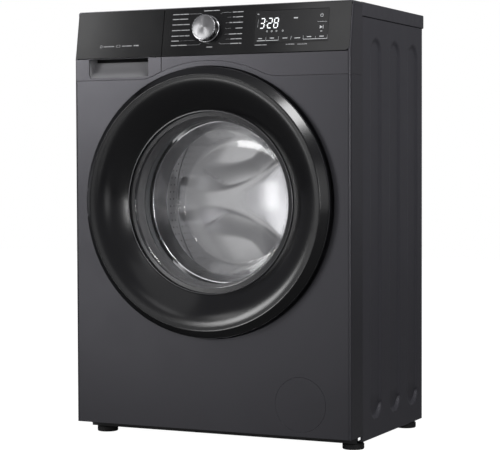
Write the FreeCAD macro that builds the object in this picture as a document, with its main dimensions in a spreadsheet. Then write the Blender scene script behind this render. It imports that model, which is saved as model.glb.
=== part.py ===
import FreeCAD, Part
import math
import os
import re
import Sketcher

# A slim front-loading washing machine.  Millimetres, +Z up, +X to the right as seen from the
# front, and the front faces -Y.  The origin is on the floor under the middle of the machine.

VECTOR = FreeCAD.Vector

DIMENSIONS = {
    # cabinet
    "height": 850,
    "half_width": 297.5,
    "front_plane": -190,
    "rear_plane": 202,
    "skin": 1.2,
    "side_bottom": 16.5,
    "front_bottom": 28,
    "bezel_back": -131.5,
    "top_bottom": 822,
    "top_front": -131,
    "top_rear": 213,
    "fascia_bottom": 712,
    "console_bottom": 755,
    "console_lean": 16,
    "console_arc": 274.5,
    "channel_first": -61,
    "channel_pitch": 103,
    "channel_half": 30,
    "channel_low": 83,
    "channel_high": 757,
    "channel_depth": 3,
    # door, which shares its axis with the tub and the drum
    "axis_height": 470.5,
    "ring_radius": 262,
    "ring_front": -220,
    "rim_radius": 247,
    "window_radius": 176.5,
    "dish_radius": 266,
    "dish_floor": -181,
    "opening_radius": 170,
    "opening_back": -165,
    "hinge_across": -249,
    "hinge_depth": -200,
    "hinge_lug": 25,
    "pin_radius": 2,
    "latch_across": 232,
    "latch_depth": -196,
    # tub and drum
    "tub_radius": 258,
    "tub_wall": 4,
    "tub_front": -128,
    "tub_join": 0,
    "tub_rear": 144,
    "tub_opening": 165,
    "hub_radius": 38,
    "hub_back": 162,
    "shaft_radius": 12.5,
    "drum_radius": 235,
    "drum_sheet": 1.5,
    "drum_front": -112,
    "drum_rear": 124,
    "drum_opening": 158,
    "pulley_radius": 130,
    "pulley_front": 166,
    "pulley_back": 180,
    "motor_across": 110,
    "motor_height": 150,
    "motor_radius": 60,
    "motor_pulley_radius": 10,
    "belt_gap": 0.3,
    "belt_thick": 3,
    # drawer, knob, display
    "drawer_seam": -101,
    "housing_bottom": 719,
    "scoop_left": -264,
    "scoop_right": -130,
    "knob_across": -4,
    "knob_height": 806,
    "knob_radius": 25.5,
    "knob_length": 18,
    "display_left": 98.4,
    "display_right": 249.4,
    "display_low": 774.7,
    "display_high": 833.7,
    # underside
    "foot_across": 271,
    "foot_front": -113,
    "foot_rear": 177,
    "foot_radius": 21,
    "stud_radius": 5,
    "filter_across": 194,
    "filter_height": 89,
    "cover_radius": 52,
    "damper_across": 205,
    "damper_front": -30,
    "damper_rear": 70,
    "spring_across": 235,
    "spring_depth": 20,
}

doc = FreeCAD.newDocument("washing_machine")
sheet = doc.addObject("Spreadsheet::Sheet", "dims")
for row, (alias, value) in enumerate(DIMENSIONS.items(), start=1):
    sheet.set(f"A{row}", alias)
    sheet.set(f"B{row}", str(value))
    sheet.setAlias(f"B{row}", alias)
doc.recompute()

PLANE_AXIS = {"XY": "z", "XZ": "y", "YZ": "x"}
AXIS_TURN = {
    "x": FreeCAD.Rotation(VECTOR(0, 1, 0), 90),
    "y": FreeCAD.Rotation(VECTOR(1, 0, 0), -90),
    "z": FreeCAD.Rotation(),
}
CONSOLE_RISE = DIMENSIONS["height"] - DIMENSIONS["console_bottom"]
LEAN = math.degrees(math.atan2(DIMENSIONS["console_lean"], CONSOLE_RISE))
LEAN_COS = math.cos(math.radians(LEAN))

sub_parts = []


# ---------------------------------------------------------------- expressions
def linked(expression):
    """The expression with every sheet alias written as a reference to the sheet."""
    def link(match):
        word = match.group(0)
        return "dims." + word if word in DIMENSIONS else word
    return re.sub(r"[a-z_]+[a-z0-9_]*", link, str(expression))


def value_of(expression):
    """The number that an expression has now, read through a spare point of the document."""
    probe = doc.getObject("probe") or doc.addObject("Part::Vertex", "probe")
    probe.setExpression("X", linked(expression))
    probe.recompute()
    return float(probe.X)


def bind(obj, prop, expression):
    obj.setExpression(prop, linked(expression))


def bind_place(obj, x="0", y="0", z="0", turn=None):
    """Puts an object at a bound place, turned about its own origin."""
    if turn is not None:
        obj.Placement = FreeCAD.Placement(VECTOR(0, 0, 0), turn)
    for axis, expression in zip("xyz", (x, y, z)):
        bind(obj, f"Placement.Base.{axis}", expression)


# ---------------------------------------------------------------- building blocks
def block(name, across, depth, up):
    """A box given by its (low, high) pair along X, Y and Z."""
    box = doc.addObject("Part::Box", name)
    for prop, (low, high) in zip(("Length", "Width", "Height"), (across, depth, up)):
        bind(box, prop, f"({high}) - ({low})")
    bind_place(box, across[0], depth[0], up[0])
    return box


def rod(name, axis, centre, radius, low, high):
    """A cylinder along an axis; centre gives the two other coordinates in X, Y, Z order."""
    cylinder = doc.addObject("Part::Cylinder", name)
    bind(cylinder, "Radius", radius)
    bind(cylinder, "Height", f"({high}) - ({low})")
    place = list(centre)
    place.insert("xyz".index(axis), low)
    bind_place(cylinder, *place, turn=AXIS_TURN[axis])
    return cylinder


def tube(name, axis, centre, outer, inner, low, high):
    return cut(name, rod(name + "_outside", axis, centre, outer, low, high),
               rod(name + "_inside", axis, centre, inner, f"({low}) - 1", f"({high}) + 1"))


def fuse(name, *shapes):
    fusion = doc.addObject("Part::MultiFuse", name)
    fusion.Shapes = list(shapes)
    fusion.Refine = True
    return fusion


def cut(name, base, *tools):
    """The base with every tool taken away."""
    difference = doc.addObject("Part::Cut", name)
    difference.Base = base
    difference.Tool = tools[0] if len(tools) == 1 else fuse(name + "_tools", *tools)
    difference.Refine = True
    return difference


def common(name, first, second):
    overlap = doc.addObject("Part::Common", name)
    overlap.Base = first
    overlap.Tool = second
    return overlap


def mirrored(name, source, normal=VECTOR(1, 0, 0)):
    mirror = doc.addObject("Part::Mirroring", name)
    mirror.Source = source
    mirror.Normal = normal
    return mirror


def pattern(name, maker, places):
    """One group of separate solids, one from maker(name, place) for each place."""
    group = doc.addObject("Part::Compound", name)
    group.Links = [maker(f"{name}_{number}", place) for number, place in enumerate(places)]
    return group


def outline_sketch(body, plane, points):
    """A closed polygon whose corners are bound to expressions, on an origin plane."""
    sketch = body.newObject("Sketcher::SketchObject", body.Name + "_sketch")
    origin_plane = [f for f in body.Origin.OriginFeatures if f.Role == plane + "_Plane"][0]
    sketch.AttachmentSupport = [(origin_plane, "")]
    sketch.MapMode = "FlatFace"
    corners = [(value_of(across), value_of(up)) for across, up in points]
    for index, start in enumerate(corners):
        end = corners[(index + 1) % len(corners)]
        sketch.addGeometry(Part.LineSegment(VECTOR(*start, 0), VECTOR(*end, 0)))
    for index in range(len(corners)):
        following = (index + 1) % len(corners)
        sketch.addConstraint(Sketcher.Constraint("Coincident", index, 2, following, 1))
    for index, point in enumerate(points):
        for kind, expression, number in zip(("DistanceX", "DistanceY"), point, corners[index]):
            made = sketch.addConstraint(Sketcher.Constraint(kind, -1, 1, index, 1, number))
            sketch.setExpression(f"Constraints[{made}]", linked(expression))
    return sketch


def plate(name, plane, points, low, high):
    """A polygon padded from low to high along the axis that the plane leaves out."""
    body = doc.addObject("PartDesign::Body", name)
    sketch = outline_sketch(body, plane, points)
    pad = body.newObject("PartDesign::Pad", name + "_pad")
    pad.Profile = sketch
    pad.Reversed = plane == "XZ"
    bind(pad, "Length", f"({high}) - ({low})")
    bind(body, f"Placement.Base.{PLANE_AXIS[plane]}", low)
    return body


def lathe(name, points, up="axis_height"):
    """A (radius, depth) outline turned about the drum axis, which runs along Y."""
    body = doc.addObject("PartDesign::Body", name)
    sketch = outline_sketch(body, "XY", points)
    turned = body.newObject("PartDesign::Revolution", name + "_turned")
    turned.Profile = sketch
    turned.ReferenceAxis = (sketch, ["V_Axis"])
    turned.Angle = 360
    bind(body, "Placement.Base.z", up)
    return body


def turned_up(name, points, x, y, z="0", turn=None):
    """A (radius, height) outline turned about an upright axis, then placed and tilted."""
    body = doc.addObject("PartDesign::Body", name)
    sketch = outline_sketch(body, "XZ", points)
    turned = body.newObject("PartDesign::Revolution", name + "_turned")
    turned.Profile = sketch
    turned.ReferenceAxis = (sketch, ["V_Axis"])
    turned.Angle = 360
    bind_place(body, x, y, z, turn)
    return body


def leaning(obj, across="0", into="0", along="0", turn=FreeCAD.Rotation()):
    """Puts an object on the leaning console face.

    In console coordinates X runs across, Y into the machine and Z up the slope from the
    console's lower edge.
    """
    lean = FreeCAD.Rotation(VECTOR(1, 0, 0), -LEAN)
    shift = lean.multVec(VECTOR(0, value_of(into), value_of(along)))
    bind_place(obj, across, f"front_plane + {shift.y:.6f}", f"console_bottom + {shift.z:.6f}",
               lean.multiply(turn))
    return obj


def leaning_box(name, across, into, along):
    """A box in console coordinates."""
    box = doc.addObject("Part::Box", name)
    for prop, (low, high) in zip(("Length", "Width", "Height"), (across, into, along)):
        bind(box, prop, f"({high}) - ({low})")
    return leaning(box, across[0], into[0], along[0])


def leaning_rod(name, across, along, radius, low, high):
    """A cylinder square to the leaning face, from low to high into the machine."""
    cylinder = doc.addObject("Part::Cylinder", name)
    bind(cylinder, "Radius", radius)
    bind(cylinder, "Height", f"({high}) - ({low})")
    return leaning(cylinder, across, low, along, AXIS_TURN["y"])


def slope(height_expression):
    """The distance up the slope of a point at a given height above the floor."""
    return f"(({height_expression}) - console_bottom) / {LEAN_COS:.6f}"


def hose(name, points, radius, bore):
    """A bent tube: straight runs joined by tangent arcs, hollow from end to end."""
    path = rounded_path([VECTOR(*[value_of(number) for number in point]) for point in points])
    start = path.Edges[0]
    circles = []
    for size in (radius, bore):
        circle = Part.Circle(start.firstVertex().Point, start.tangentAt(start.FirstParameter), size)
        circles.append(Part.Wire(circle.toShape()))
    outside, inside = (path.makePipeShell([ring], True, True) for ring in circles)
    feature = doc.addObject("Part::Feature", name)
    feature.Shape = outside.cut(inside)
    feature.Placement = FreeCAD.Placement()
    return feature


def rounded_path(points):
    """A wire through the points, with each corner rounded as far as its two runs allow."""
    edges = []
    here = points[0]
    for before, corner, after in zip(points, points[1:], points[2:]):
        arrive = (corner - before).normalize()
        leave = (after - corner).normalize()
        trim = 0.45 * min((corner - before).Length, (after - corner).Length)
        start = corner - arrive * trim
        end = corner + leave * trim
        quarter = arrive.getAngle(leave) / 4
        middle = (start + end) * 0.5
        towards_corner = (corner - middle).normalize()
        middle = middle + towards_corner * (end - start).Length * 0.5 * math.tan(quarter)
        edges.append(Part.LineSegment(here, start).toShape())
        edges.append(Part.Arc(start, middle, end).toShape())
        here = end
    edges.append(Part.LineSegment(here, points[-1]).toShape())
    return Part.Wire(edges)


def keep(obj, label=None):
    """Makes an object a sub-part, whose label names its file."""
    obj.Label = label or obj.Name
    sub_parts.append(obj)
    return obj


# ---------------------------------------------------------------- cabinet
def side_panel():
    """The left skin: a plate with three sunk channels and returned front and rear edges."""
    outside = "-half_width"
    plate_back = "rear_plane"
    depth = ("bezel_back + 0.3", plate_back)
    pieces = [block("side_skin", (outside, "-half_width + skin"), depth,
                    ("side_bottom", "top_bottom - 0.3"))]
    pieces.append(block("side_front_return", (outside, "-half_width + 5"),
                        (depth[0], "bezel_back + 0.3 + skin"), ("side_bottom", "top_bottom - 0.3")))
    pieces.append(block("side_rear_return", (outside, "-half_width + 16"),
                        (f"{plate_back} - skin", plate_back), ("side_bottom", "top_bottom - 0.3")))
    pieces.append(block("side_foot_return", (outside, "-half_width + 12"), depth,
                        ("side_bottom", "side_bottom + skin")))
    hollows = []
    for number in range(3):
        centre = f"channel_first + {number} * channel_pitch"
        pieces.append(channel(f"side_press_{number}", centre, "channel_half + skin",
                              outside, "-half_width + channel_depth + skin"))
        hollows.append(channel(f"side_hollow_{number}", centre, "channel_half",
                               "-half_width - 1", "-half_width + channel_depth"))
    return cut("left_side_panel", fuse("side_solid", *pieces), *hollows)


def channel(name, centre, half, low, high):
    """A round-ended upright channel, as a solid between two X planes."""
    ends = [rod(f"{name}_end_{index}", "x", (centre, height), half, low, high)
            for index, height in enumerate(("channel_low", "channel_high"))]
    middle = block(name + "_middle", (low, high), (f"{centre} - ({half})", f"{centre} + ({half})"),
                   ("channel_low", "channel_high"))
    return fuse(name, *ends, middle)


def front_panel():
    """A sheet tray with the dish that the door sits in, its opening and the filter hole."""
    outer = block("front_tray", ("-half_width", "half_width"), ("front_plane", "bezel_back"),
                  ("front_bottom", "fascia_bottom - 0.6"))
    inner = block("front_tray_inside", ("-half_width + skin", "half_width - skin"),
                  ("front_plane + skin", "bezel_back + 1"), ("front_bottom + skin", "fascia_bottom"))
    toe_gap = block("front_toe_gap", ("-half_width + skin", "half_width - skin"),
                    ("-150", "bezel_back + 1"), ("front_bottom - 1", "front_bottom + 3"))
    arch = common("front_arch",
                  rod("front_arch_round", "y", ("0", "axis_height"), "console_arc - 0.8",
                      "front_plane", "front_plane + skin"),
                  block("front_arch_top", ("-150", "150"), ("front_plane", "front_plane + skin"),
                        ("fascia_bottom - 2", "console_bottom")))
    dish = lathe("front_dish", [
        ("opening_radius", "dish_floor"), ("dish_radius", "dish_floor"),
        ("dish_radius", "front_plane"), ("dish_radius + skin", "front_plane"),
        ("dish_radius + skin", "dish_floor + skin"),
        ("opening_radius + 2", "dish_floor + skin"),
        ("opening_radius + 2", "opening_back"), ("opening_radius", "opening_back")])
    tray = cut("front_tray_open", fuse("front_tray_arch", cut("front_shell", outer, inner, toe_gap), arch),
               rod("front_dish_hole", "y", ("0", "axis_height"), "dish_radius + 0.5",
                   "front_plane - 1", "dish_floor + 5"),
               rod("front_filter_hole", "y", ("filter_across", "filter_height"),
                   "cover_radius + 1", "front_plane - 1", "dish_floor"))
    slots = [block(f"front_lug_slot_{index}", ("hinge_across - 5.5", "hinge_across + 5.5"),
                   ("dish_floor - 1", "dish_floor + 3"),
                   (f"axis_height + {side} * hinge_lug - 3", f"axis_height + {side} * hinge_lug + 3"))
             for index, side in enumerate((-1, 1))]
    slots.append(block("front_latch_slot", ("latch_across - 11", "latch_across + 11"),
                       ("dish_floor - 1", "dish_floor + 3"), ("axis_height - 14", "axis_height + 14")))
    return cut("front_panel", fuse("front_sheet", tray, dish), *slots)


def console_profile(inset):
    """The section of the console head, moved in by inset."""
    return [(f"front_plane + {inset}", f"fascia_bottom + {inset}"),
            ("bezel_back", f"fascia_bottom + {inset}"),
            ("bezel_back", f"height - {inset}"),
            (f"front_plane + console_lean + {inset}", f"height - {inset}"),
            (f"front_plane + {inset}", "console_bottom")]


def fascia():
    """The grey moulded head that carries the console, with the drawer opening on its left."""
    solid = plate("fascia_solid", "YZ", console_profile(0), "-half_width", "half_width")
    wall = 5.5
    hollow = plate("fascia_hollow", "YZ", console_profile(wall), "-half_width + 2.5",
                   "half_width - 2.5")
    door_arc = rod("fascia_arc", "y", ("0", "axis_height"), "console_arc", "front_plane - 1",
                   "bezel_back + 1")
    drawer_hole = block("fascia_drawer_hole", ("-half_width + 3", "drawer_seam"),
                        ("front_plane - 1", "bezel_back + 1"), ("fascia_bottom + 0.6", "height - 2"))
    layer = leaning_box("fascia_console_layer", ("drawer_seam + 0.4", "half_width - 2.6"),
                        ("-1", "3.2"), ("0", slope("height - 0.8")))
    knob_hole = leaning_rod("fascia_knob_hole", "knob_across", slope("knob_height"), "6", "-1", "12")
    return cut("fascia", solid, hollow, door_arc, drawer_hole, layer, knob_hole)


def console_face():
    """The black face, sunk for the display and bored for the knob's shaft."""
    face = leaning_box("console_plate", ("drawer_seam + 0.7", "half_width - 3"), ("0", "3"),
                       ("0.4", slope("height - 1.1")))
    sunk = leaning_box("console_sunk", ("display_left", "display_right"), ("-1", "1.4"),
                       (slope("display_low"), slope("display_high")))
    bore = leaning_rod("console_bore", "knob_across", slope("knob_height"), "5", "-1", "5")
    arc = rod("console_lower_arc", "y", ("0", "axis_height"), "console_arc + 10", "front_plane - 1",
              "bezel_back")
    return cut("console_face", face, sunk, bore, arc)


def display_glass():
    return leaning_box("display_glass", ("display_left + 0.2", "display_right - 0.2"), ("0", "1.2"),
                       (slope("display_low") + " + 0.2", slope("display_high") + " - 0.2"))


def control_board():
    """The board behind the display, with the knob's encoder and its socket on it."""
    board = block("board_plate", ("-40", "265"), ("-160", "-157"), ("765", "812"))
    parts = block("board_parts", ("90", "240"), ("-157.5", "-140"), ("772", "806"))
    encoder = leaning_rod("board_encoder", "knob_across", slope("knob_height"), "9", "7", "15")
    link = block("board_link", ("knob_across - 9", "knob_across + 9"), ("-170", "-158"),
                 ("785", "800"))
    return fuse("control_board", board, parts, encoder, link)


def top_panel():
    """The worktop: a rimmed board that overhangs the rear."""
    shell = block("top_outside", ("-half_width", "half_width"), ("top_front", "top_rear"),
                  ("top_bottom", "height"))
    hollow = block("top_inside", ("-half_width + 14", "half_width - 14"),
                   ("top_front + 10", "top_rear - 16"), ("top_bottom - 1", "height - 14"))
    return cut("top_panel", shell, hollow)


def rear_panel():
    sheet_metal = block("rear_sheet", ("-half_width + 2", "half_width - 2"),
                        ("rear_plane + 0.3", "rear_plane + 1.5"), ("side_bottom + 4", "top_bottom - 2"))
    service = rod("rear_service_hole", "y", ("0", "axis_height"), "142", "rear_plane - 1",
                  "rear_plane + 3")
    holes = [rod(f"rear_transit_hole_{index}", "y", (x, z), "16", "rear_plane - 1",
                 "rear_plane + 3") for index, (x, z) in enumerate(TRANSIT)]
    ports = [rod("rear_inlet_hole", "y", INLET, "15", "rear_plane - 1", "rear_plane + 3"),
             rod("rear_drain_hole", "y", DRAIN, "12", "rear_plane - 1", "rear_plane + 3"),
             rod("rear_cord_hole", "y", CORD, "9", "rear_plane - 1", "rear_plane + 3")]
    return cut("rear_panel", sheet_metal, service, *holes, *ports)


TRANSIT = [(x, z) for x in ("-190", "190") for z in ("320", "640")]
INLET = ("-230", "780")
DRAIN = ("230", "120")
CORD = ("-250", "180")


def transit_plug(name, place):
    """A stepped plug in one of the rear holes that the transit bolts used."""
    x, z = place
    stem = rod(name + "_stem", "y", place, "15.7", "rear_plane - 3", "rear_plane + 2")
    head = rod(name + "_head", "y", place, "20", "rear_plane + 1.7", "rear_plane + 5")
    return fuse(name, stem, head)


def rear_cover():
    """The dished cover over the belt, screwed to the rear panel."""
    return lathe("rear_cover", [
        ("0", "rear_plane + 8.8"), ("132", "rear_plane + 8.8"), ("138", "rear_plane + 1.7"),
        ("156", "rear_plane + 1.7"), ("156", "rear_plane + 2.9"), ("139", "rear_plane + 2.9"),
        ("133", "rear_plane + 10"), ("0", "rear_plane + 10")])


def base_frame():
    """The pressed base: side rails, cross rails, toe strip and the threaded foot bushes."""
    rails = []
    for name, low, high in (("left", "-half_width + 2", "-half_width + 46"),
                            ("right", "half_width - 46", "half_width - 2")):
        rails.append(block(f"base_{name}_rail", (low, high), ("bezel_back + 3", "rear_plane - 2"),
                           ("34", "37")))
    rails.append(block("base_toe", ("-half_width + 8", "half_width - 8"),
                       ("-143", "-141"), ("14", "37")))
    rails.append(block("base_toe_shelf", ("-half_width + 17", "half_width - 17"),
                       ("-142", "-90"), ("34", "37")))
    for name, low, high in (("front", "-42", "-18"), ("middle", "58", "82"),
                            ("rear", "150", "rear_plane - 2")):
        rails.append(block(f"base_{name}_bar", ("-half_width + 8", "half_width - 8"), (low, high),
                           ("34", "37")))
    for index, (x, y) in enumerate(DAMPERS):
        rails.append(block(f"base_damper_seat_{index}", (f"{x} - 22", f"{x} + 22"),
                           (f"{y} - 22", f"{y} + 22"), ("36", "46")))
    for index, (x, y) in enumerate(FEET):
        rails.append(rod(f"base_bush_{index}", "z", (x, y), "9", "28", "46"))
    bores = [rod(f"base_bore_{index}", "z", (x, y), "stud_radius + 0.05", "20", "60")
             for index, (x, y) in enumerate(FEET)]
    return cut("base_frame", fuse("base_solid", *rails), *bores)


DAMPERS = [(x, y) for x in ("-damper_across", "damper_across") for y in ("damper_front", "damper_rear")]
FEET = [(x, y) for y in ("foot_front", "foot_rear") for x in ("-foot_across", "foot_across")]
FOOT_NAMES = ("foot_front_left", "foot_front_right", "foot_rear_left", "foot_rear_right")


def foot(name, place):
    """An adjustable foot: a pad, a hexagonal neck's round and the stud in its bush."""
    return turned_up(name, [
        ("0", "0"), ("foot_radius - 1", "0"), ("foot_radius", "1.5"), ("foot_radius", "10"),
        ("foot_radius - 2", "12"), ("9", "12"), ("9", "20"), ("stud_radius", "20"),
        ("stud_radius", "58"), ("0", "58")], *place)


def top_brace():
    """The cross rails under the top, with the two arms that the springs hang from."""
    rail = block("brace_rail", ("-292", "292"), ("8", "39"), ("808", "811"))
    web = block("brace_web", ("-292", "292"), ("36", "39"), ("794", "810"))
    hooks = [block(f"brace_hook_{index}", (f"{x} - 4", f"{x} + 4"), ("12", "28"), ("799", "809"))
             for index, x in enumerate(("-spring_across", "spring_across"))]
    rear = block("brace_rear", ("-292", "292"), ("186", "rear_plane - 1.5"), ("808", "811"))
    ends = [block(f"brace_end_{index}", span, ("8", "rear_plane - 1.5"), ("808", "811"))
            for index, span in enumerate((("-292", "-282"), ("282", "292")))]
    return fuse("top_brace", rail, web, rear, *hooks, *ends)


def drawer_housing():
    """The open-fronted box that the drawer slides in, with the water sprayer as its lid."""
    outside = block("housing_outside", ("-291", "drawer_seam - 4"), ("-131", "-8"),
                    ("housing_bottom", "806"))
    inside = block("housing_inside", ("-288.5", "drawer_seam - 6.5"), ("-132", "-10.5"),
                   ("housing_bottom + 2.5", "803"))
    return cut("drawer_housing", outside, inside)


def inlet_valve():
    """The solenoid valve, whose threaded spigot comes out through the rear panel."""
    body = block("valve_body", ("-252", "-208"), ("150", "rear_plane - 0.5"), ("764", "798"))
    spigot = rod("valve_spigot", "y", INLET, "13.2", "rear_plane - 1", "220")
    bore = rod("valve_bore", "y", INLET, "9", "rear_plane", "221")
    outlet = rod("valve_outlet", "y", INLET, "7", "138", "151")
    coil = rod("valve_coil", "z", ("-230", "172"), "14", "740", "765")
    return cut("inlet_valve", fuse("valve_solid", body, spigot, outlet, coil), bore)


def cord_gland():
    """The strain relief where the mains lead goes in."""
    flange = rod("gland_flange", "y", CORD, "13", "rear_plane + 1.5", "rear_plane + 5")
    stem = rod("gland_stem", "y", CORD, "8.7", "rear_plane - 6", "rear_plane + 13")
    bore = rod("gland_bore", "y", CORD, "4.2", "rear_plane - 7", "rear_plane + 14")
    return cut("cord_gland", fuse("gland_solid", flange, stem), bore)


def pressure_switch():
    disc = rod("switch_disc", "x", ("95", "770"), "26", "270", "288")
    arm = block("switch_arm", ("286", "293"), ("85", "105"), ("760", "800"))
    nipple = rod("switch_nipple", "z", ("279", "95"), "4", "736", "745")
    return fuse("pressure_switch", disc, arm, nipple)


def damper_cylinder(name, place):
    """A friction damper's cylinder, open at the top for its rod."""
    outer = rod(name + "_outer", "z", place, "14", "46", "170")
    bore = rod(name + "_bore", "z", place, "6.5", "100", "171")
    return cut(name, outer, bore)


def pump_housing():
    """The filter housing behind the round cover, with the pump's motor at its back."""
    centre = ("filter_across", "filter_height")
    outer = rod("pump_outer", "y", centre, "38", "-180", "-84")
    motor = rod("pump_motor", "y", centre, "30", "-85", "-76")
    motor_back = rod("pump_motor_back", "y", centre, "26", "-77", "-50")
    inlet = rod("pump_inlet", "z", ("filter_across", "-110"), "12.7", "filter_height + 30", "140")
    outlet = rod("pump_outlet", "y", ("250", "filter_height"), "9.3", "-104", "-60.5")
    elbow = block("pump_elbow", ("filter_across + 30", "250"), ("-118", "-102"),
                  ("filter_height - 9", "filter_height + 9"))
    seat = block("pump_seat", ("filter_across - 20", "filter_across + 20"), ("-130", "-92"),
                 ("37", "56"))
    bore = rod("pump_bore", "y", centre, "32", "-181", "-95")
    return cut("pump_housing", fuse("pump_solid", outer, motor, motor_back, inlet, outlet, elbow,
                                    seat), bore)


def pump_filter():
    """The screw-in filter: a finger bar on a cap, with a lint basket behind it."""
    centre = ("filter_across", "filter_height")
    cap = rod("filter_cap", "y", centre, "30", "-182", "-172")
    basket = rod("filter_basket", "y", centre, "24", "-173", "-100")
    hollow = rod("filter_hollow", "y", centre, "21", "-168", "-99")
    bar = block("filter_bar", ("filter_across - 22", "filter_across + 22"), ("-186.5", "-181"),
                ("filter_height - 4", "filter_height + 4"))
    return fuse("pump_filter", cap, bar, cut("filter_tube", basket, hollow))


def filter_cover():
    """The round flap in the front panel, hinged along its lower edge."""
    disc = rod("cover_disc", "y", ("filter_across", "filter_height"), "cover_radius",
               "front_plane", "front_plane + 2")
    rim = tube("cover_rim", "y", ("filter_across", "filter_height"), "44", "42",
               "front_plane + 1.5", "front_plane + 3.4")
    return fuse("filter_cover", disc, rim)


def door_hinge():
    """The hinge plate behind the dish, with two lugs that reach out to the pin."""
    base = block("hinge_base", ("-262", "-226"), ("dish_floor + skin + 0.2", "dish_floor + 4.2"),
                 ("axis_height - 45", "axis_height + 45"))
    lugs = []
    bores = []
    for index, side in enumerate((-1, 1)):
        low = f"axis_height + {side} * hinge_lug - 1.5"
        high = f"axis_height + {side} * hinge_lug + 1.5"
        lugs.append(block(f"hinge_neck_{index}", ("hinge_across - 2.5", "hinge_across + 2.5"),
                          ("hinge_depth", "dish_floor + 3"), (low, high)))
        lugs.append(rod(f"hinge_eye_{index}", "z", ("hinge_across", "hinge_depth"), "4.3", low, high))
        bores.append(rod(f"hinge_bore_{index}", "z", ("hinge_across", "hinge_depth"),
                         "pin_radius + 0.05", low + " - 1", high + " + 1"))
    return cut("door_hinge", fuse("hinge_solid", base, *lugs), *bores)


def door_lock():
    """The lock's case behind the dish, open where the hook goes in."""
    case = block("lock_case", ("216", "250"), ("dish_floor + skin + 0.2", "-150"),
                 ("axis_height - 42", "axis_height + 42"))
    mouth = block("lock_mouth", ("218.5", "246"), ("dish_floor", "-154"),
                  ("axis_height - 12", "axis_height + 12"))
    return cut("door_lock", case, mouth)


def gasket():
    """The folded rubber bellows between the front panel and the tub."""
    return lathe("door_gasket", [
        ("opening_radius + 2.4", "-178.5"), ("180", "-178.5"), ("180", "-162"), ("190", "-154"),
        ("190", "-144"), ("174", "-138"), ("174", "-128.4"), ("168.6", "-128.4"),
        ("168.6", "-139"), ("183", "-147"), ("183", "-151"), ("172", "-160"),
        ("159", "-156"), ("158.6", "-159"), ("opening_radius + 2.4", "-164.4")])


def ring(name, outer, inner, low, high):
    return tube(name, "y", ("0", "axis_height"), outer, inner, low, high)


def panel_screw(name, place):
    x, z = place
    return rod(name, "y", (x, z), "4", "rear_plane + 1.5", "rear_plane + 4")


SCREWS = [(x, z) for x in ("-286", "286") for z in ("60", "240", "420", "600", "790")]


# ---------------------------------------------------------------- tub
def tub_front():
    """The front half: its wall, the gasket's spigot, the sump and the spring and damper lugs."""
    shell = lathe("tub_front_shell", [
        ("tub_opening", "tub_front - 12"), ("tub_opening + 3.3", "tub_front - 12"),
        ("tub_opening + 3.3", "tub_front"), ("tub_radius", "tub_front"),
        ("tub_radius", "tub_join - 0.1"), ("tub_radius - tub_wall", "tub_join - 0.1"),
        ("tub_radius - tub_wall", "tub_front + tub_wall"), ("tub_opening", "tub_front + tub_wall")])
    bores = [rod(f"tub_heater_bore_{index}", "y", (x, "209"), "4.1", "tub_front - 1", "tub_front + 9")
             for index, x in enumerate(("-24", "24"))]
    sump = block("sump_outside", ("-60", "60"), ("tub_front", "-4"), ("196", "225"))
    hollow = block("sump_inside", ("-57", "57"), ("tub_front + tub_wall", "-7"), ("199", "240"))
    outlet = rod("sump_outlet", "x", ("-100", "210"), "11", "59", "78")
    bore = rod("sump_bore", "x", ("-100", "210"), "9", "50", "79")
    lugs = [tub_lug(f"tub_front_lug_{index}", x, "damper_front")
            for index, x in enumerate(("-damper_across", "damper_across"))]
    inside = rod("tub_front_inside", "y", ("0", "axis_height"), "tub_radius - tub_wall",
                 "tub_front + tub_wall", "0")
    solid = fuse("tub_front_solid", cut("tub_front_sump", fuse("tub_front_walls", shell, sump,
                                                               outlet), hollow, bore), *lugs)
    return cut("tub_front_half", solid, inside, *bores)


def tub_lug(name, x, y):
    """A damper's lug under the tub."""
    return block(name, (f"{x} - 12", f"{x} + 12"), (f"{y} - 12", f"{y} + 12"), ("305", "340"))


def tub_rear():
    """The rear half: its wall, the bearing hub, and the lugs that springs and dampers take."""
    shell = lathe("tub_rear_shell", [
        ("tub_radius - tub_wall", "tub_join + 0.1"), ("tub_radius", "tub_join + 0.1"),
        ("tub_radius", "tub_rear"), ("hub_radius", "tub_rear"), ("hub_radius", "hub_back"),
        ("26.2", "hub_back"), ("26.2", "tub_rear - 4"), ("22.2", "tub_rear - 4"),
        ("22.2", "tub_rear - 6"), ("tub_radius - tub_wall", "tub_rear - 6")])
    lugs = [tub_lug(f"tub_rear_lug_{index}", x, "damper_rear")
            for index, x in enumerate(("-damper_across", "damper_across"))]
    ears = [block(f"tub_ear_{index}", (f"{x} - 5", f"{x} + 5"), ("spring_depth - 8", "spring_depth + 8"),
                  ("560", "605.5")) for index, x in enumerate(("-spring_across", "spring_across"))]
    inside = rod("tub_rear_inside", "y", ("0", "axis_height"), "tub_radius - tub_wall",
                 "0", "tub_rear - 6")
    return cut("tub_rear_half", fuse("tub_rear_solid", shell, *lugs, *ears), inside)


def front_weight():
    """The lower concrete crescent on the tub's front wall."""
    crescent = ring("weight_ring", "250", "202", "tub_front - 29", "tub_front - 0.2")
    low = block("weight_low", ("-260", "260"), ("tub_front - 30", "tub_front"),
                ("200", "axis_height - 60"))
    return common("front_weight", crescent, low)


def upper_weight():
    """The concrete block saddled on the top of the tub."""
    block_shape = block("upper_block", ("-90", "150"), ("-60", "80"), ("690", "768"))
    saddle = rod("upper_saddle", "y", ("0", "axis_height"), "tub_radius + 0.2", "-61", "81")
    return cut("upper_weight", block_shape, saddle)


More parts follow.
